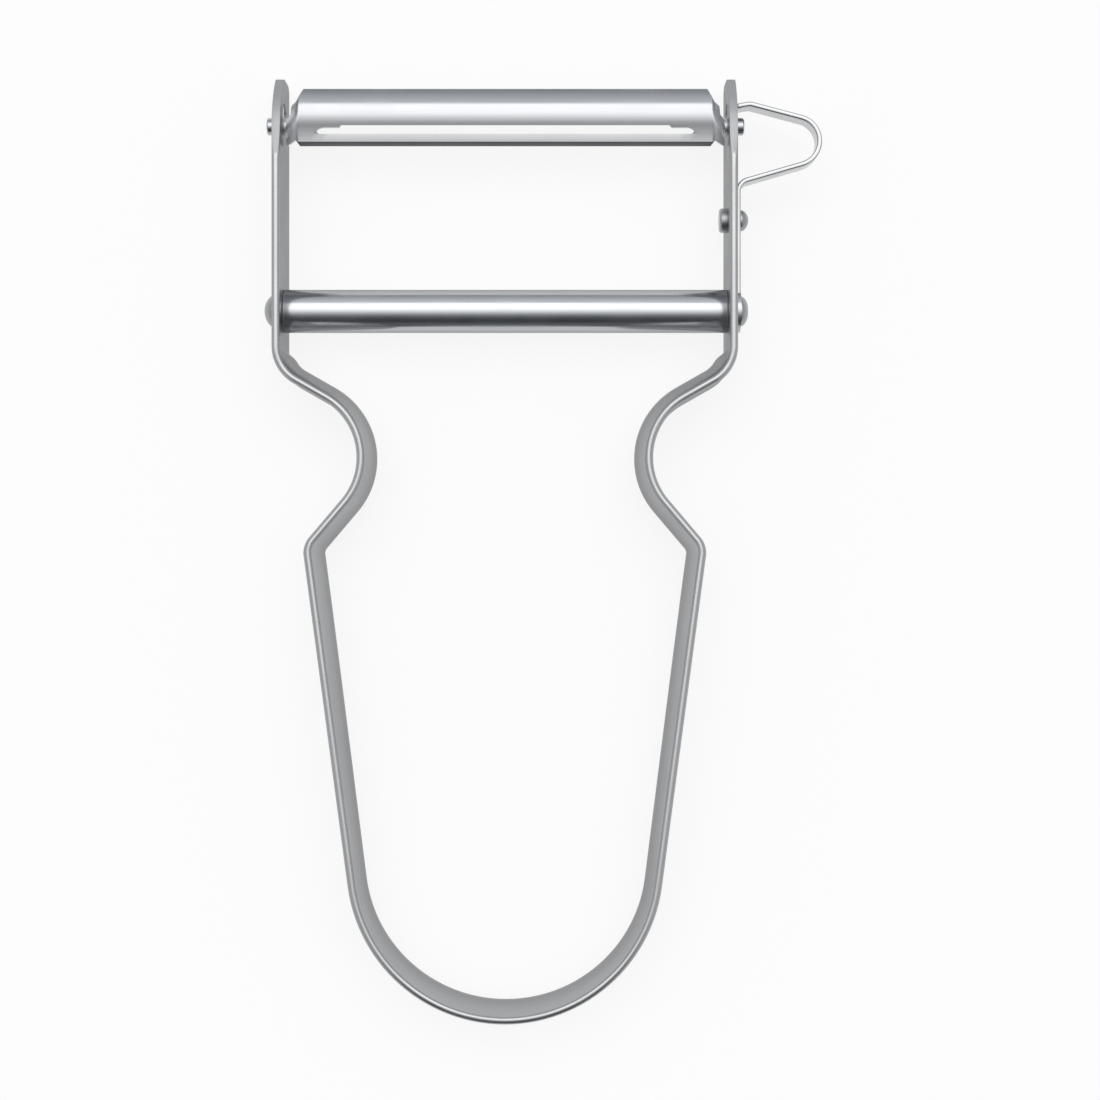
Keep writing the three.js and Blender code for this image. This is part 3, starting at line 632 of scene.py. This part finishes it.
def strap_stops(strap):
    """Outer face of the left half of the strap, from the ear down to the bow."""
    down_side = heading(math.pi / 2 + strap.side_taper)
    bow_side = Vector((0, strap.bow_radius)) - heading(strap.side_taper) * strap.bow_radius
    level = Vector((1, 0))
    knee = crossing(bow_side, down_side, Vector((0, strap.knee_height)), level)
    shoulder = Vector((-strap.arm_half_width, strap.shoulder_height))
    neck = heading(math.pi / 2 - strap.neck_slope)
    waist = crossing(knee, neck, shoulder, heading(-strap.shoulder_slope))
    bow = crossing(bow_side, down_side, Vector((0, 0)), level)
    tip = Vector((-strap.arm_half_width, strap.tip_height + CUT_OVERLAP))
    return [
        (tip, 0),
        (shoulder, strap.shoulder_radius),
        (waist, strap.waist_radius),
        (knee, strap.knee_radius),
        (bow, strap.bow_radius),
        (Vector((0, 0)), 0),
    ]


def dish_turn(strap, height):
    """The dish deepens from the bow to the knee and runs out where the arms begin."""
    bend_run = strap.shoulder_radius * math.tan((math.pi / 2 - strap.shoulder_slope) / 2)
    arm_start = strap.shoulder_height + bend_run
    climb = smooth_share(height, 0, strap.knee_height)
    fade = smooth_share(arm_start - height, 0, strap.dish_fade)
    return (strap.bow_dish + (strap.neck_dish - strap.bow_dish) * climb) * fade


def dish_strip(strip, strap):
    """Bends the strip to an arc across its width, so that it bulges into the handle."""
    half = strap.width / 2
    inwards = [point.normal.copy() for point in strip.data.vertices]
    for point, inward in zip(strip.data.vertices, inwards):
        turn = dish_turn(strap, point.co.y)
        if turn < LEAST_DISH:
            continue
        radius = half / turn
        share = (point.co.z - MID_DEPTH) / half
        corner = turn * (1 - strap.edge_round / half)
        outer = radius - strap.thickness / 2
        outermost = (outer + strap.edge_round) * math.cos(corner) - strap.edge_round
        inner = radius + strap.thickness / 2 - strap.edge_round
        foremost = inner * math.sin(corner) + strap.edge_round
        point.co += inward * (outer * math.cos(turn * share) - outermost)
        point.co.z = MID_DEPTH + outer * math.sin(turn * share) * half / foremost


def rounded_bend(start, corner, end):
    shares = [i / ROUNDING_STEPS for i in range(ROUNDING_STEPS + 1)]
    return [start.lerp(corner, one).lerp(corner.lerp(end, one), one) for one in shares]


def ear_outline(strap):
    """Depths and heights of the side view of the arms, with the sloped ears."""
    width, tip = strap.width, strap.tip_height
    runout = Vector((width, tip - strap.ear_runout_drop))
    bend = Vector((width - strap.ear_bend_depth, tip - strap.ear_bend_drop))
    top = Vector((width - strap.ear_top_depth, tip))
    slope_start = bend.lerp(runout, EAR_BEND_SHARE)
    slope_middle = (bend + top) / 2
    flat = Vector((width - strap.ear_flat_depth, tip))
    radius = strap.ear_back_radius
    middle = Vector((radius, tip - radius))
    turns = [math.pi / 2 * (1 + i / EAR_STEPS) for i in range(EAR_STEPS + 1)]
    back = [middle + heading(turn) * radius for turn in turns]
    return [
        Vector((-CUT_OVERLAP, -CUT_OVERLAP)),
        Vector((width + CUT_OVERLAP, -CUT_OVERLAP)),
        Vector((width + CUT_OVERLAP, runout.y)),
        runout,
        *rounded_bend(slope_start, bend, slope_middle),
        *rounded_bend(slope_middle, top, flat)[1:],
        *back,
        Vector((-CUT_OVERLAP, tip - radius)),
    ]


def swing_window(blade):
    """Window beside the bearing hole in which the stop key swings."""
    pivot = Vector((MID_DEPTH, blade.pivot_height))
    reach = blade.key_reach + KEY_PLAY
    offset = blade.key_width / 2 + KEY_PLAY
    spread = blade.swing + math.asin(offset / reach)
    shares = [i / WINDOW_STEPS for i in range(WINDOW_STEPS + 1)]
    arc = [pivot + heading(math.pi / 2 + spread * (2 * one - 1)) * reach for one in shares]
    front = pivot + heading(-blade.swing) * offset
    back = pivot + heading(math.pi + blade.swing) * offset
    return [front, *arc, back]


def make_strap(strap, blade, hardware):
    stops = strap_stops(strap)
    strip = draw_strip("dished_strap", stops, 0, strap.width, STRAP_COLUMNS, STRAP_BEND_STEP)
    face_along(strip, Vector((1, 0, 0)), lambda spot: spot.y)
    modify(
        strip,
        "MIRROR",
        use_axis=(True, False, False),
        use_mirror_merge=True,
        merge_threshold=SAME_PLACE,
    )
    dish_strip(strip, strap)
    modify(strip, "SOLIDIFY", thickness=strap.thickness, offset=1, use_even_offset=True)
    round_edges(strip, strap.edge_round, segments=4, degrees=60)
    outer = strap.arm_half_width + CUT_OVERLAP
    inner = strap.arm_half_width - strap.thickness - CUT_OVERLAP
    combine(strip, across_frame("ear_shape", ear_outline(strap), -outer, outer), "INTERSECT")
    for side in (-1, 1):
        start, end = side * inner, side * outer
        bearing = blade.trunnion_radius + BEARING_PLAY
        combine(strip, pin("bearing", bearing, start, end, blade.pivot_height), "DIFFERENCE")
        window = across_frame("swing_window", swing_window(blade), start, end)
        combine(strip, window, "DIFFERENCE")
        tie = pin("tie_hole", hardware.tie_radius + RIVET_PLAY, start, end, hardware.tube_height)
        combine(strip, tie, "DIFFERENCE")
    small = hardware.rivet_radius + RIVET_PLAY
    combine(strip, pin("rivet_hole", small, inner, outer, hardware.rivet_height), "DIFFERENCE")
    round_edges(strip, STRAP_EDGE_BREAK, segments=2, degrees=40)
    return strip


# Swivel blade


def trough_centre(blade):
    """Rise and front of the centre of the trough's arc."""
    return Vector((blade.trough_rise, blade.crown_front - blade.trough_radius))


def trough_spot(blade, turn):
    """Rise and front of a spot on the trough, by its turn from the crown."""
    return trough_centre(blade) + heading(turn).yx * blade.trough_radius


def trough_arcs(blade):
    """Start, end and steps of the arcs from the lip over the ridge to the top edge."""
    return [
        (blade.lip_turn, blade.ridge_turn, LIP_STEPS),
        (blade.ridge_turn, blade.top_turn, TROUGH_STEPS),
    ]


def rail_spots(blade):
    lip = trough_spot(blade, blade.lip_turn)
    top = Vector((lip.x - blade.slot_width, lip.y - blade.rail_setback))
    crease = Vector((top.x - blade.rail_height, top.y + blade.rail_lean))
    foot = Vector((crease.x - blade.foot_height, crease.y - blade.foot_lean))
    return lip, top, crease, foot


def on_blade(blade, spot, x=0.0):
    return Vector((x, blade.pivot_height + spot.x, MID_DEPTH + spot.y))


def draw_trough(blade):
    """The sheet from the foot of the rail over the slot and the lip to the top edge."""
    lip, top, crease, foot = rail_spots(blade)
    half = blade.web_end - blade.web_length - FOLD_SUPPORT
    middle = (on_blade(blade, foot) + on_blade(blade, crease)) / 2
    rise = on_blade(blade, crease) - on_blade(blade, foot)
    sheet = place_grid("stamped_blade", middle, Vector((2 * half, 0, 0)), rise, BLADE_COLUMNS, 1)
    start_editing(sheet)
    level = on_blade(blade, crease).y
    select_points(sheet, lambda spot: abs(spot.y - level) < SAME_PLACE)
    extrude_by(on_blade(blade, top) - on_blade(blade, crease))
    extrude_by(on_blade(blade, lip) - on_blade(blade, top))
    centre = tuple(on_blade(blade, trough_centre(blade)))
    for start, end, steps in trough_arcs(blade):
        bpy.ops.mesh.spin(steps=steps, angle=end - start, center=centre, axis=(1, 0, 0))
    stop_editing()
    close_sheet(sheet)
    face_along(sheet, Vector((0, 0, 1)), lambda spot: spot.z)
    return sheet


def blade_rows(blade):
    """The sheet's section and the section of its webs, row by row from the foot up."""
    lip, top, crease, foot = rail_spots(blade)
    rows = [foot, crease, top, lip]
    for start, end, steps in trough_arcs(blade):
        turns = [start + (end - start) * (i + 1) / steps for i in range(steps)]
        rows += [trough_spot(blade, turn) for turn in turns]
    web_foot = Vector((blade.web_foot_rise, blade.web_foot_front))
    web_ridge = Vector((blade.web_ridge_rise, blade.web_ridge_front))
    web_top = Vector((blade.web_top_rise, blade.web_top_front))
    below = len(rows) - 1 - TROUGH_STEPS
    webs = [web_foot.lerp(web_ridge, i / below) for i in range(below)]
    webs += [web_ridge.lerp(web_top, i / TROUGH_STEPS) for i in range(TROUGH_STEPS + 1)]
    return rows, webs


def fold_share(blade, x):
    """How far the web is folded at a place along the blade, with a soft start."""
    run = (abs(x) - blade.web_end + blade.web_length) / blade.web_length
    start = FOLD_SOFTNESS
    if run < start:
        return max(run, 0) ** 2 / (2 * start) / (1 - start / 2)
    return (run - start / 2) / (1 - start / 2)


def section_at(blade, x, rows, webs):
    share = fold_share(blade, x)
    return [row.lerp(web, share) for row, web in zip(rows, webs)]


def move_rows(sheet, blade, sections):
    """Moves each selected point from its row in one section to the same row in another."""
    mesh = bmesh.from_edit_mesh(sheet.data)
    for point in mesh.verts:
        if point.select:
            here, goal = sections(point.co.x)
            spot = Vector((point.co.y - blade.pivot_height, point.co.z - MID_DEPTH))
            row = min(range(len(here)), key=lambda i: (here[i] - spot).length)
            point.co = on_blade(blade, goal[row], point.co.x)
    bmesh.update_edit_mesh(sheet.data)


def fold_web(sheet, blade, side, rows, webs):
    """Draws one end of the sheet out and folds it down to the trunnion."""
    start_editing(sheet)
    edge = side * (blade.web_end - blade.web_length - FOLD_SUPPORT)
    select_points(sheet, lambda spot: abs(spot.x - edge) < SAME_PLACE)
    extrude_by((side * FOLD_SUPPORT, 0, 0))
    here = rows
    for step in range(1, FOLD_STEPS + 1):
        extrude_by((side * blade.web_length / FOLD_STEPS, 0, 0))
        run = blade.web_length * (1 - step / FOLD_STEPS)
        goal = section_at(blade, blade.web_end - run, rows, webs)
        move_rows(sheet, blade, lambda x: (here, goal))
        here = goal
    stop_editing()


def set_back(section, sheet):
    """The same section, set back by the thickness of the sheet."""
    fronts = []
    for low, high in zip(section, section[1:]):
        along = (high - low).normalized()
        fronts.append(Vector((-along.y, along.x)))
    backs = []
    for i, spot in enumerate(section):
        below, above = fronts[max(i - 1, 0)], fronts[min(i, len(fronts) - 1)]
        backs.append(spot - (below + above) * sheet / (1 + below.dot(above)))
    return backs


def thicken_sheet(sheet, blade, rows, webs):
    """Doubles the sheet and sets the copy back, column by column."""
    start_editing(sheet)
    bpy.ops.mesh.select_all(action="SELECT")
    bpy.ops.mesh.extrude_region_move()

    def sections(x):
        front = section_at(blade, x, rows, webs)
        return front, set_back(front, blade.sheet)

    move_rows(sheet, blade, sections)
    stop_editing()
    close_sheet(sheet)


def mirrored(half):
    return half + [(-x, y) for x, y in reversed(half)]


def blank_outline(blade):
    """Outline of the flat blank seen from the front."""
    end = blade.web_end
    beyond = end + CUT_OVERLAP
    top = trough_spot(blade, blade.top_turn).x
    foot = rail_spots(blade)[3].x
    half = [
        (end - TOP_CORNER_IN - CUT_OVERLAP, top + CUT_OVERLAP),
        (end - TOP_CORNER_IN, top),
        *[(end - inwards, rise) for inwards, rise in WEB_CORNERS],
        (end, WEB_NECK),
        (beyond, WEB_NECK),
        (beyond, blade.web_foot_rise),
        (end, blade.web_foot_rise),
        (end - RAIL_CHAMFER[0], foot + RAIL_CHAMFER[1]),
        (end - RAIL_CORNER_IN, foot),
        (end - RAIL_CORNER_IN, foot - CUT_OVERLAP),
    ]
    return [(x, blade.pivot_height + y, 0) for x, y in mirrored(half)]


def slot_outline(blade):
    """The slot: the ground lip, the unground lip beside it and the rounded ends."""
    lip, top, _, _ = rail_spots(blade)
    low = lip.x - SLOT_CORNER
    side = top.x + SLOT_CORNER
    half = [(blade.ground_half, lip.x), (blade.ground_half + SLOT_CORNER, low)]
    for i in range(ROUNDING_STEPS + 1):
        turn = heading(math.pi / 2 * (1 - i / ROUNDING_STEPS))
        half.append((blade.slot_half - SLOT_END * (1 - turn.x), side + (low - side) * turn.y))
    half.append((blade.slot_half - SLOT_CORNER, top.x))
    return [(x, blade.pivot_height + y, 0) for x, y in mirrored(half)]


def grinding_wedge(blade):
    """Depths and heights of the wedge that leaves the lip ground to an edge."""
    lip = rail_spots(blade)[0]
    start = Vector((MID_DEPTH + lip.y - EDGE_LAND, blade.pivot_height + lip.x))
    run = heading(math.pi / 2 + blade.grind_angle) * blade.trough_radius / 2
    drop = blade.slot_width / 2
    return [
        Vector((start.x, start.y - drop)),
        start,
        start + run,
        Vector((start.x + run.x, start.y - drop)),
    ]


def trunnion_profile(blade, strap):
    end = strap.arm_half_width + blade.trunnion_reach
    root = blade.web_end - TRUNNION_ROOT
    radius, rounding = blade.trunnion_radius, TRUNNION_ROUND
    profile = [(root, 0), (root, radius)]
    for i in range(PIN_END_STEPS + 1):
        turn = heading(math.pi / 2 * (1 - i / PIN_END_STEPS)) * rounding
        profile.append((end - rounding + turn.x, radius - rounding + turn.y))
    return profile + [(end, 0)]


def stop_key(blade, strap, side):
    middle = side * (strap.arm_half_width - strap.thickness / 2)
    half = KEY_LENGTH / 2
    width = blade.key_width / 2
    outline = [
        (MID_DEPTH - width, blade.pivot_height),
        (MID_DEPTH + width, blade.pivot_height),
        (MID_DEPTH + width, blade.pivot_height + blade.key_reach),
        (MID_DEPTH - width, blade.pivot_height + blade.key_reach),
    ]
    return across_frame("stop_key", outline, middle - half, middle + half)


def make_blade(strap, blade):
    sheet = draw_trough(blade)
    rows, webs = blade_rows(blade)
    for side in (-1, 1):
        fold_web(sheet, blade, side, rows, webs)
    thicken_sheet(sheet, blade, rows, webs)
    combine(sheet, slab("blank", blank_outline(blade), (0, 0, strap.width)), "INTERSECT")
    combine(sheet, slab("slot", slot_outline(blade), (0, 0, strap.width)), "DIFFERENCE")
    ground = blade.ground_half
    combine(sheet, across_frame("wedge", grinding_wedge(blade), -ground, ground), "DIFFERENCE")
    for side in (-1, 1):
        profile = [(side * x, radius) for x, radius in trunnion_profile(blade, strap)]
        combine(sheet, turned("trunnion", profile, blade.pivot_height, PIN_STEPS), "UNION")
        combine(sheet, stop_key(blade, strap, side), "UNION")
    round_edges(sheet, EDGE_BREAK, segments=2, degrees=35)
    return sheet


# Tube and rivets


def make_tube(strap, hardware):
    deselect_all()
    half = strap.arm_half_width - strap.thickness
    bpy.ops.mesh.primitive_cylinder_add(
        vertices=TUBE_SIDES,
        radius=hardware.tube_radius,
        depth=2 * half,
        location=(0, hardware.tube_height, MID_DEPTH),
        rotation=(0, math.pi / 2, 0),
    )
    tube = new_piece("sleeve_tube")
    bpy.ops.object.transform_apply(location=True, rotation=True, scale=True)
    start_editing(tube)
    bpy.ops.mesh.select_mode(type="FACE")
    mesh = bmesh.from_edit_mesh(tube.data)
    for face in mesh.faces:
        face.select_set(abs(face.normal.x) > END_FACING)
    bmesh.update_edit_mesh(tube.data)
    bpy.ops.mesh.inset(thickness=hardware.tube_radius - hardware.tube_bore, depth=0)
    bpy.ops.mesh.bridge_edge_loops()
    stop_editing()
    round_edges(tube, TUBE_EDGE_BREAK, segments=3, degrees=60)
    return tube


def dome(radius, rise, face, side):
    """Places and radii from the top of a rivet head down to its rim."""
    turns = [math.pi / 2 * i / DOME_STEPS for i in range(DOME_STEPS + 1)]
    return [(face + side * rise * math.cos(turn), radius * math.sin(turn)) for turn in turns]


def make_tie_rivet(strap, hardware):
    outer = strap.arm_half_width + hardware.loop_sheet
    roll = dome(hardware.clinch_radius, hardware.clinch_rise, outer, 1)[::-1]
    roll = [spot for spot in roll if spot[1] > hardware.clinch_dimple]
    crest = roll[-1][0]
    profile = dome(hardware.tie_head, hardware.tie_rise, -strap.arm_half_width, -1)
    profile += [(-strap.arm_half_width, hardware.tie_radius), (outer, hardware.tie_radius)]
    profile += roll
    profile += [
        (crest, hardware.clinch_dimple),
        (crest - DIMPLE_DEPTH, DIMPLE_FLOOR * hardware.clinch_dimple),
        (crest - DIMPLE_DEPTH, 0),
    ]
    rivet = turned("headed_tie_rivet", profile, hardware.tube_height)
    round_edges(rivet, EDGE_BREAK, segments=2, degrees=35)
    return rivet


def make_small_rivet(strap, hardware):
    face = strap.arm_half_width - strap.thickness
    outer = strap.arm_half_width + hardware.loop_sheet
    disc = face - hardware.rivet_disc_rise
    rounding = DISC_ROUND
    profile = [(disc, 0)]
    for i in range(DISC_STEPS + 1):
        turn = heading(math.pi / 2 * i / DISC_STEPS) * rounding
        profile.append((disc + rounding - turn.x, hardware.rivet_disc - rounding + turn.y))
    profile += [(face, hardware.rivet_disc), (face, hardware.rivet_radius)]
    profile += [(outer, hardware.rivet_radius)]
    profile += dome(hardware.rivet_head, hardware.rivet_rise, outer, 1)[::-1]
    return turned("small_rivet", profile, hardware.rivet_height)


# Eye remover


def loop_stops(strap, hardware):
    """Middle of the strip from the foot of the leg round the loop to its free tip."""
    arm = strap.arm_half_width
    leg = arm + hardware.loop_sheet / 2
    root = Vector((leg, hardware.loop_root))
    bend = Vector((arm + hardware.loop_bend_reach, hardware.loop_tip + hardware.loop_drop))
    lower = heading(hardware.loop_lower_slope)
    nose = crossing(root, lower, bend, heading(-hardware.loop_upper_slope))
    return [
        (Vector((leg, hardware.tube_height)), 0),
        (root, hardware.loop_root_radius),
        (nose, hardware.loop_nose_radius),
        (bend, hardware.loop_bend_radius),
        (Vector((arm + hardware.loop_tip_gap, hardware.loop_tip)), 0),
    ]


def make_eye_remover(strap, hardware):
    half = hardware.loop_width / 2
    stops = loop_stops(strap, hardware)
    low, high = MID_DEPTH - half, MID_DEPTH + half
    strip = draw_strip("bent_eye_remover", stops, low, high, LOOP_COLUMNS, LOOP_BEND_STEP)
    modify(strip, "SOLIDIFY", thickness=hardware.loop_sheet, offset=0, use_even_offset=True)
    round_edges(strip, LOOP_EDGE_ROUND, segments=4, degrees=60)
    inner = strap.arm_half_width
    outer = inner + hardware.loop_sheet
    eye = pin("eye", hardware.loop_eye, inner, outer, hardware.tube_height)
    combine(strip, eye, "UNION")
    start, end = inner - CUT_OVERLAP, outer + CUT_OVERLAP
    tie = pin("tie_hole", hardware.tie_radius + RIVET_PLAY, start, end, hardware.tube_height)
    combine(strip, tie, "DIFFERENCE")
    small = pin("rivet_hole", hardware.rivet_radius + RIVET_PLAY, start, end, hardware.rivet_height)
    combine(strip, small, "DIFFERENCE")
    return strip


# Stage


def make_table(finish):
    deselect_all()
    bpy.ops.mesh.primitive_plane_add(size=TABLE_SIZE, location=(0, 0, 0))
    table = new_piece("white_table")
    material = bpy.data.materials.new("white_table_top")
    material.use_nodes = True
    tree = material.node_tree
    tree.nodes.remove(tree.nodes["Principled BSDF"])
    path = wire(tree, "ShaderNodeLightPath").outputs
    seen = number(tree, "MAXIMUM", path["Is Camera Ray"], path["Is Glossy Ray"])
    seen = number(tree, "MAXIMUM", seen, path["Is Transmission Ray"])
    matt = result(wire(tree, "ShaderNodeBsdfDiffuse", {"Color": (*finish.table, 1)}))
    white = result(wire(tree, "ShaderNodeEmission"))
    share = number(tree, "MULTIPLY", seen, WHITE_SHARE)
    mixed = wire(tree, "ShaderNodeMixShader", {0: share, 1: matt, 2: white})
    feed(tree, tree.nodes["Material Output"], {"Surface": result(mixed)})
    table.data.materials.append(material)


def sky_ramp(tree, share):
    ramp = wire(tree, "ShaderNodeValToRGB", {"Fac": share})
    elements = ramp.color_ramp.elements
    while len(elements) < len(SKY):
        elements.new(0.5)
    for element, (degrees, shade) in zip(elements, SKY):
        element.position = (degrees + 90) / 180
        element.color = (*shade, 1)
    return ramp.outputs["Color"]


def make_studio():
    """A broad soft light overhead, leaning to the blade end, and a dim room around it."""
    world = bpy.data.worlds.new("studio")
    bpy.context.scene.world = world
    world.use_nodes = True
    tree = world.node_tree
    place = wire(tree, "ShaderNodeTexCoord")
    way = wire(tree, "ShaderNodeSeparateXYZ", {"Vector": place.outputs["Generated"]}).outputs
    lean = number(tree, "ARCTAN2", way["Y"], way["Z"])
    sky = sky_ramp(tree, remap(tree, lean, -math.pi / 2, math.pi / 2))
    room = blend(tree, "RGBA", soft_step(tree, way["X"], *ROOM_START), sky, ROOM)
    low = remap(tree, way["Z"], *HORIZON_END, 1.0, 0.0)
    seen = blend(tree, "RGBA", low, room, HORIZON)
    feed(tree, tree.nodes["Background"], {"Color": seen, "Strength": LIGHT_STRENGTH})


def make_camera():
    deselect_all()
    bpy.ops.object.camera_add(location=CAMERA_PLACE, rotation=(0, 0, 0))
    camera = bpy.context.object
    camera.data.lens = CAMERA_LENS
    camera.data.sensor_width = CAMERA_SENSOR
    camera.data.clip_start = CAMERA_NEAR
    bpy.context.scene.camera = camera


# Operators


class PEELER_OT_frame_strap(bpy.types.Operator):
    """Bend the dished strap with its ears and holes"""

    bl_idname = "peeler.frame_strap"
    bl_label = "Frame Strap"

    def execute(self, context):
        strap, blade, hardware, finish = sizes_of(context)
        metal_finish = metal(
            "satin_aluminium",
            finish.strap,
            stretch=(60, 60, 2600),
            rough=(0.22, 0.34),
            grain=0.06,
            pitting=0.6,
            edge=0.53,
        )
        ear = (EAR_START, finish.ear, EAR_ROUGHNESS)
        change_beyond(metal_finish, "Y", STRAP_LOW.y, *ear, edges_only=True)
        piece = make_strap(strap, blade, hardware)
        finish_piece(piece, "frame", "frame_strap", metal_finish, crease=32)
        return {"FINISHED"}


class PEELER_OT_swivel_blade(bpy.types.Operator):
    """Form the trough, slot, rail, webs and trunnions of the blade"""

    bl_idname = "peeler.swivel_blade"
    bl_label = "Swivel Blade"

    def execute(self, context):
        strap, blade, _, finish = sizes_of(context)
        metal_finish = metal(
            "polished_steel",
            finish.blade,
            stretch=(90, 2400, 2400),
            rough=(0.1, 0.2),
            grain=0.05,
            pitting=0.4,
        )
        # The webs take a paler base colour and a higher roughness. The colour is painted light that
        # brightens them where they mirror the dark ears.
        fold = blade.web_end - blade.web_length
        webs = ([fold + start for start in WEB_PAINTED_LIGHT_START], finish.web, WEB_ROUGHNESS)
        change_beyond(metal_finish, "X", FRAME_AXIS, *webs)
        # The trunnions take back the blade's own colour, without the webs' painted light, and a
        # lower roughness.
        arm = strap.arm_half_width - strap.thickness
        pins = ((arm, arm + PIN_START), finish.blade, PIN_ROUGHNESS)
        change_beyond(metal_finish, "X", FRAME_AXIS, *pins)
        piece = make_blade(strap, blade)
        finish_piece(piece, "blade", "swivel_blade", metal_finish, crease=12)
        return {"FINISHED"}


class PEELER_OT_spacer_tube(bpy.types.Operator):
    """Turn the tube between the arms"""

    bl_idname = "peeler.spacer_tube"
    bl_label = "Spacer Tube"

    def execute(self, context):
        strap, _, hardware, finish = sizes_of(context)
        metal_finish = metal(
            "plated_steel",
            finish.tube,
            stretch=(120, 1500, 1500),
            rough=(0.12, 0.24),
            grain=0.04,
            pitting=0.4,
            edge=0.5,
        )
        piece = make_tube(strap, hardware)
        finish_piece(piece, "frame", "spacer_tube", metal_finish, crease=40)
        return {"FINISHED"}


class PEELER_OT_rivets(bpy.types.Operator):
    """Turn the tie rivet and the small rivet"""

    bl_idname = "peeler.rivets"
    bl_label = "Rivets"

    def execute(self, context):
        strap, _, hardware, finish = sizes_of(context)
        metal_finish = metal(
            "headed_rivet_metal",
            finish.rivet,
            stretch=(900, 900, 900),
            rough=(0.25, 0.4),
            grain=0.08,
            pitting=0.6,
        )
        tie = make_tie_rivet(strap, hardware)
        finish_piece(tie, "frame", "tie_rivet", metal_finish, crease=35)
        small = make_small_rivet(strap, hardware)
        finish_piece(small, "frame", "eye_remover_rivet", metal_finish, crease=35)
        return {"FINISHED"}


class PEELER_OT_eye_remover(bpy.types.Operator):
    """Bend the strip of the eye remover with its leg and eye"""

    bl_idname = "peeler.eye_remover"
    bl_label = "Eye Remover"

    def execute(self, context):
        strap, _, hardware, finish = sizes_of(context)
        metal_finish = metal(
            "bright_strip_steel",
            finish.loop,
            stretch=(80, 80, 2200),
            rough=(0.16, 0.3),
            grain=0.05,
            pitting=0.4,
        )
        piece = make_eye_remover(strap, hardware)
        finish_piece(piece, "frame", "eye_remover", metal_finish, crease=35)
        return {"FINISHED"}


class PEELER_OT_stage(bpy.types.Operator):
    """Lay the white table, the soft light and the camera"""

    bl_idname = "peeler.stage"
    bl_label = "Stage"

    def execute(self, context):
        make_table(context.scene.peeler_finish)
        make_studio()
        make_camera()
        context.scene.view_settings.view_transform = "Standard"
        return {"FINISHED"}


class PEELER_PT_pieces(bpy.types.Panel):
    """Pieces of the peeler in the order in which they are made"""

    bl_idname = "PEELER_PT_pieces"
    bl_label = "Peeler Pieces"
    bl_space_type = "VIEW_3D"
    bl_region_type = "UI"
    bl_category = "Peeler"

    def draw(self, context):
        column = self.layout.column(align=True)
        for maker in MAKERS:
            column.operator(maker.bl_idname)
        for sizes in sizes_of(context):
            box = self.layout.box()
            for name in sizes.__annotations__:
                box.prop(sizes, name)


SIZE_GROUPS = {
    "peeler_strap": PeelerStrapSizes,
    "peeler_blade": PeelerBladeSizes,
    "peeler_hardware": PeelerHardwareSizes,
    "peeler_finish": PeelerFinish,
}
MAKERS = (
    PEELER_OT_frame_strap,
    PEELER_OT_swivel_blade,
    PEELER_OT_spacer_tube,
    PEELER_OT_rivets,
    PEELER_OT_eye_remover,
    PEELER_OT_stage,
)


def register():
    for kind in (*SIZE_GROUPS.values(), *MAKERS, PEELER_PT_pieces):
        bpy.utils.register_class(kind)
    for name, kind in SIZE_GROUPS.items():
        setattr(bpy.types.Scene, name, PointerProperty(type=kind))


def unregister():
    for name in SIZE_GROUPS:
        delattr(bpy.types.Scene, name)
    for kind in (PEELER_PT_pieces, *reversed(MAKERS), *SIZE_GROUPS.values()):
        bpy.utils.unregister_class(kind)


def main():
    register()
    bpy.ops.peeler.frame_strap()
    bpy.ops.peeler.swivel_blade()
    bpy.ops.peeler.spacer_tube()
    bpy.ops.peeler.rivets()
    bpy.ops.peeler.eye_remover()
    bpy.ops.peeler.stage()


if __name__ == "__main__":
    main()
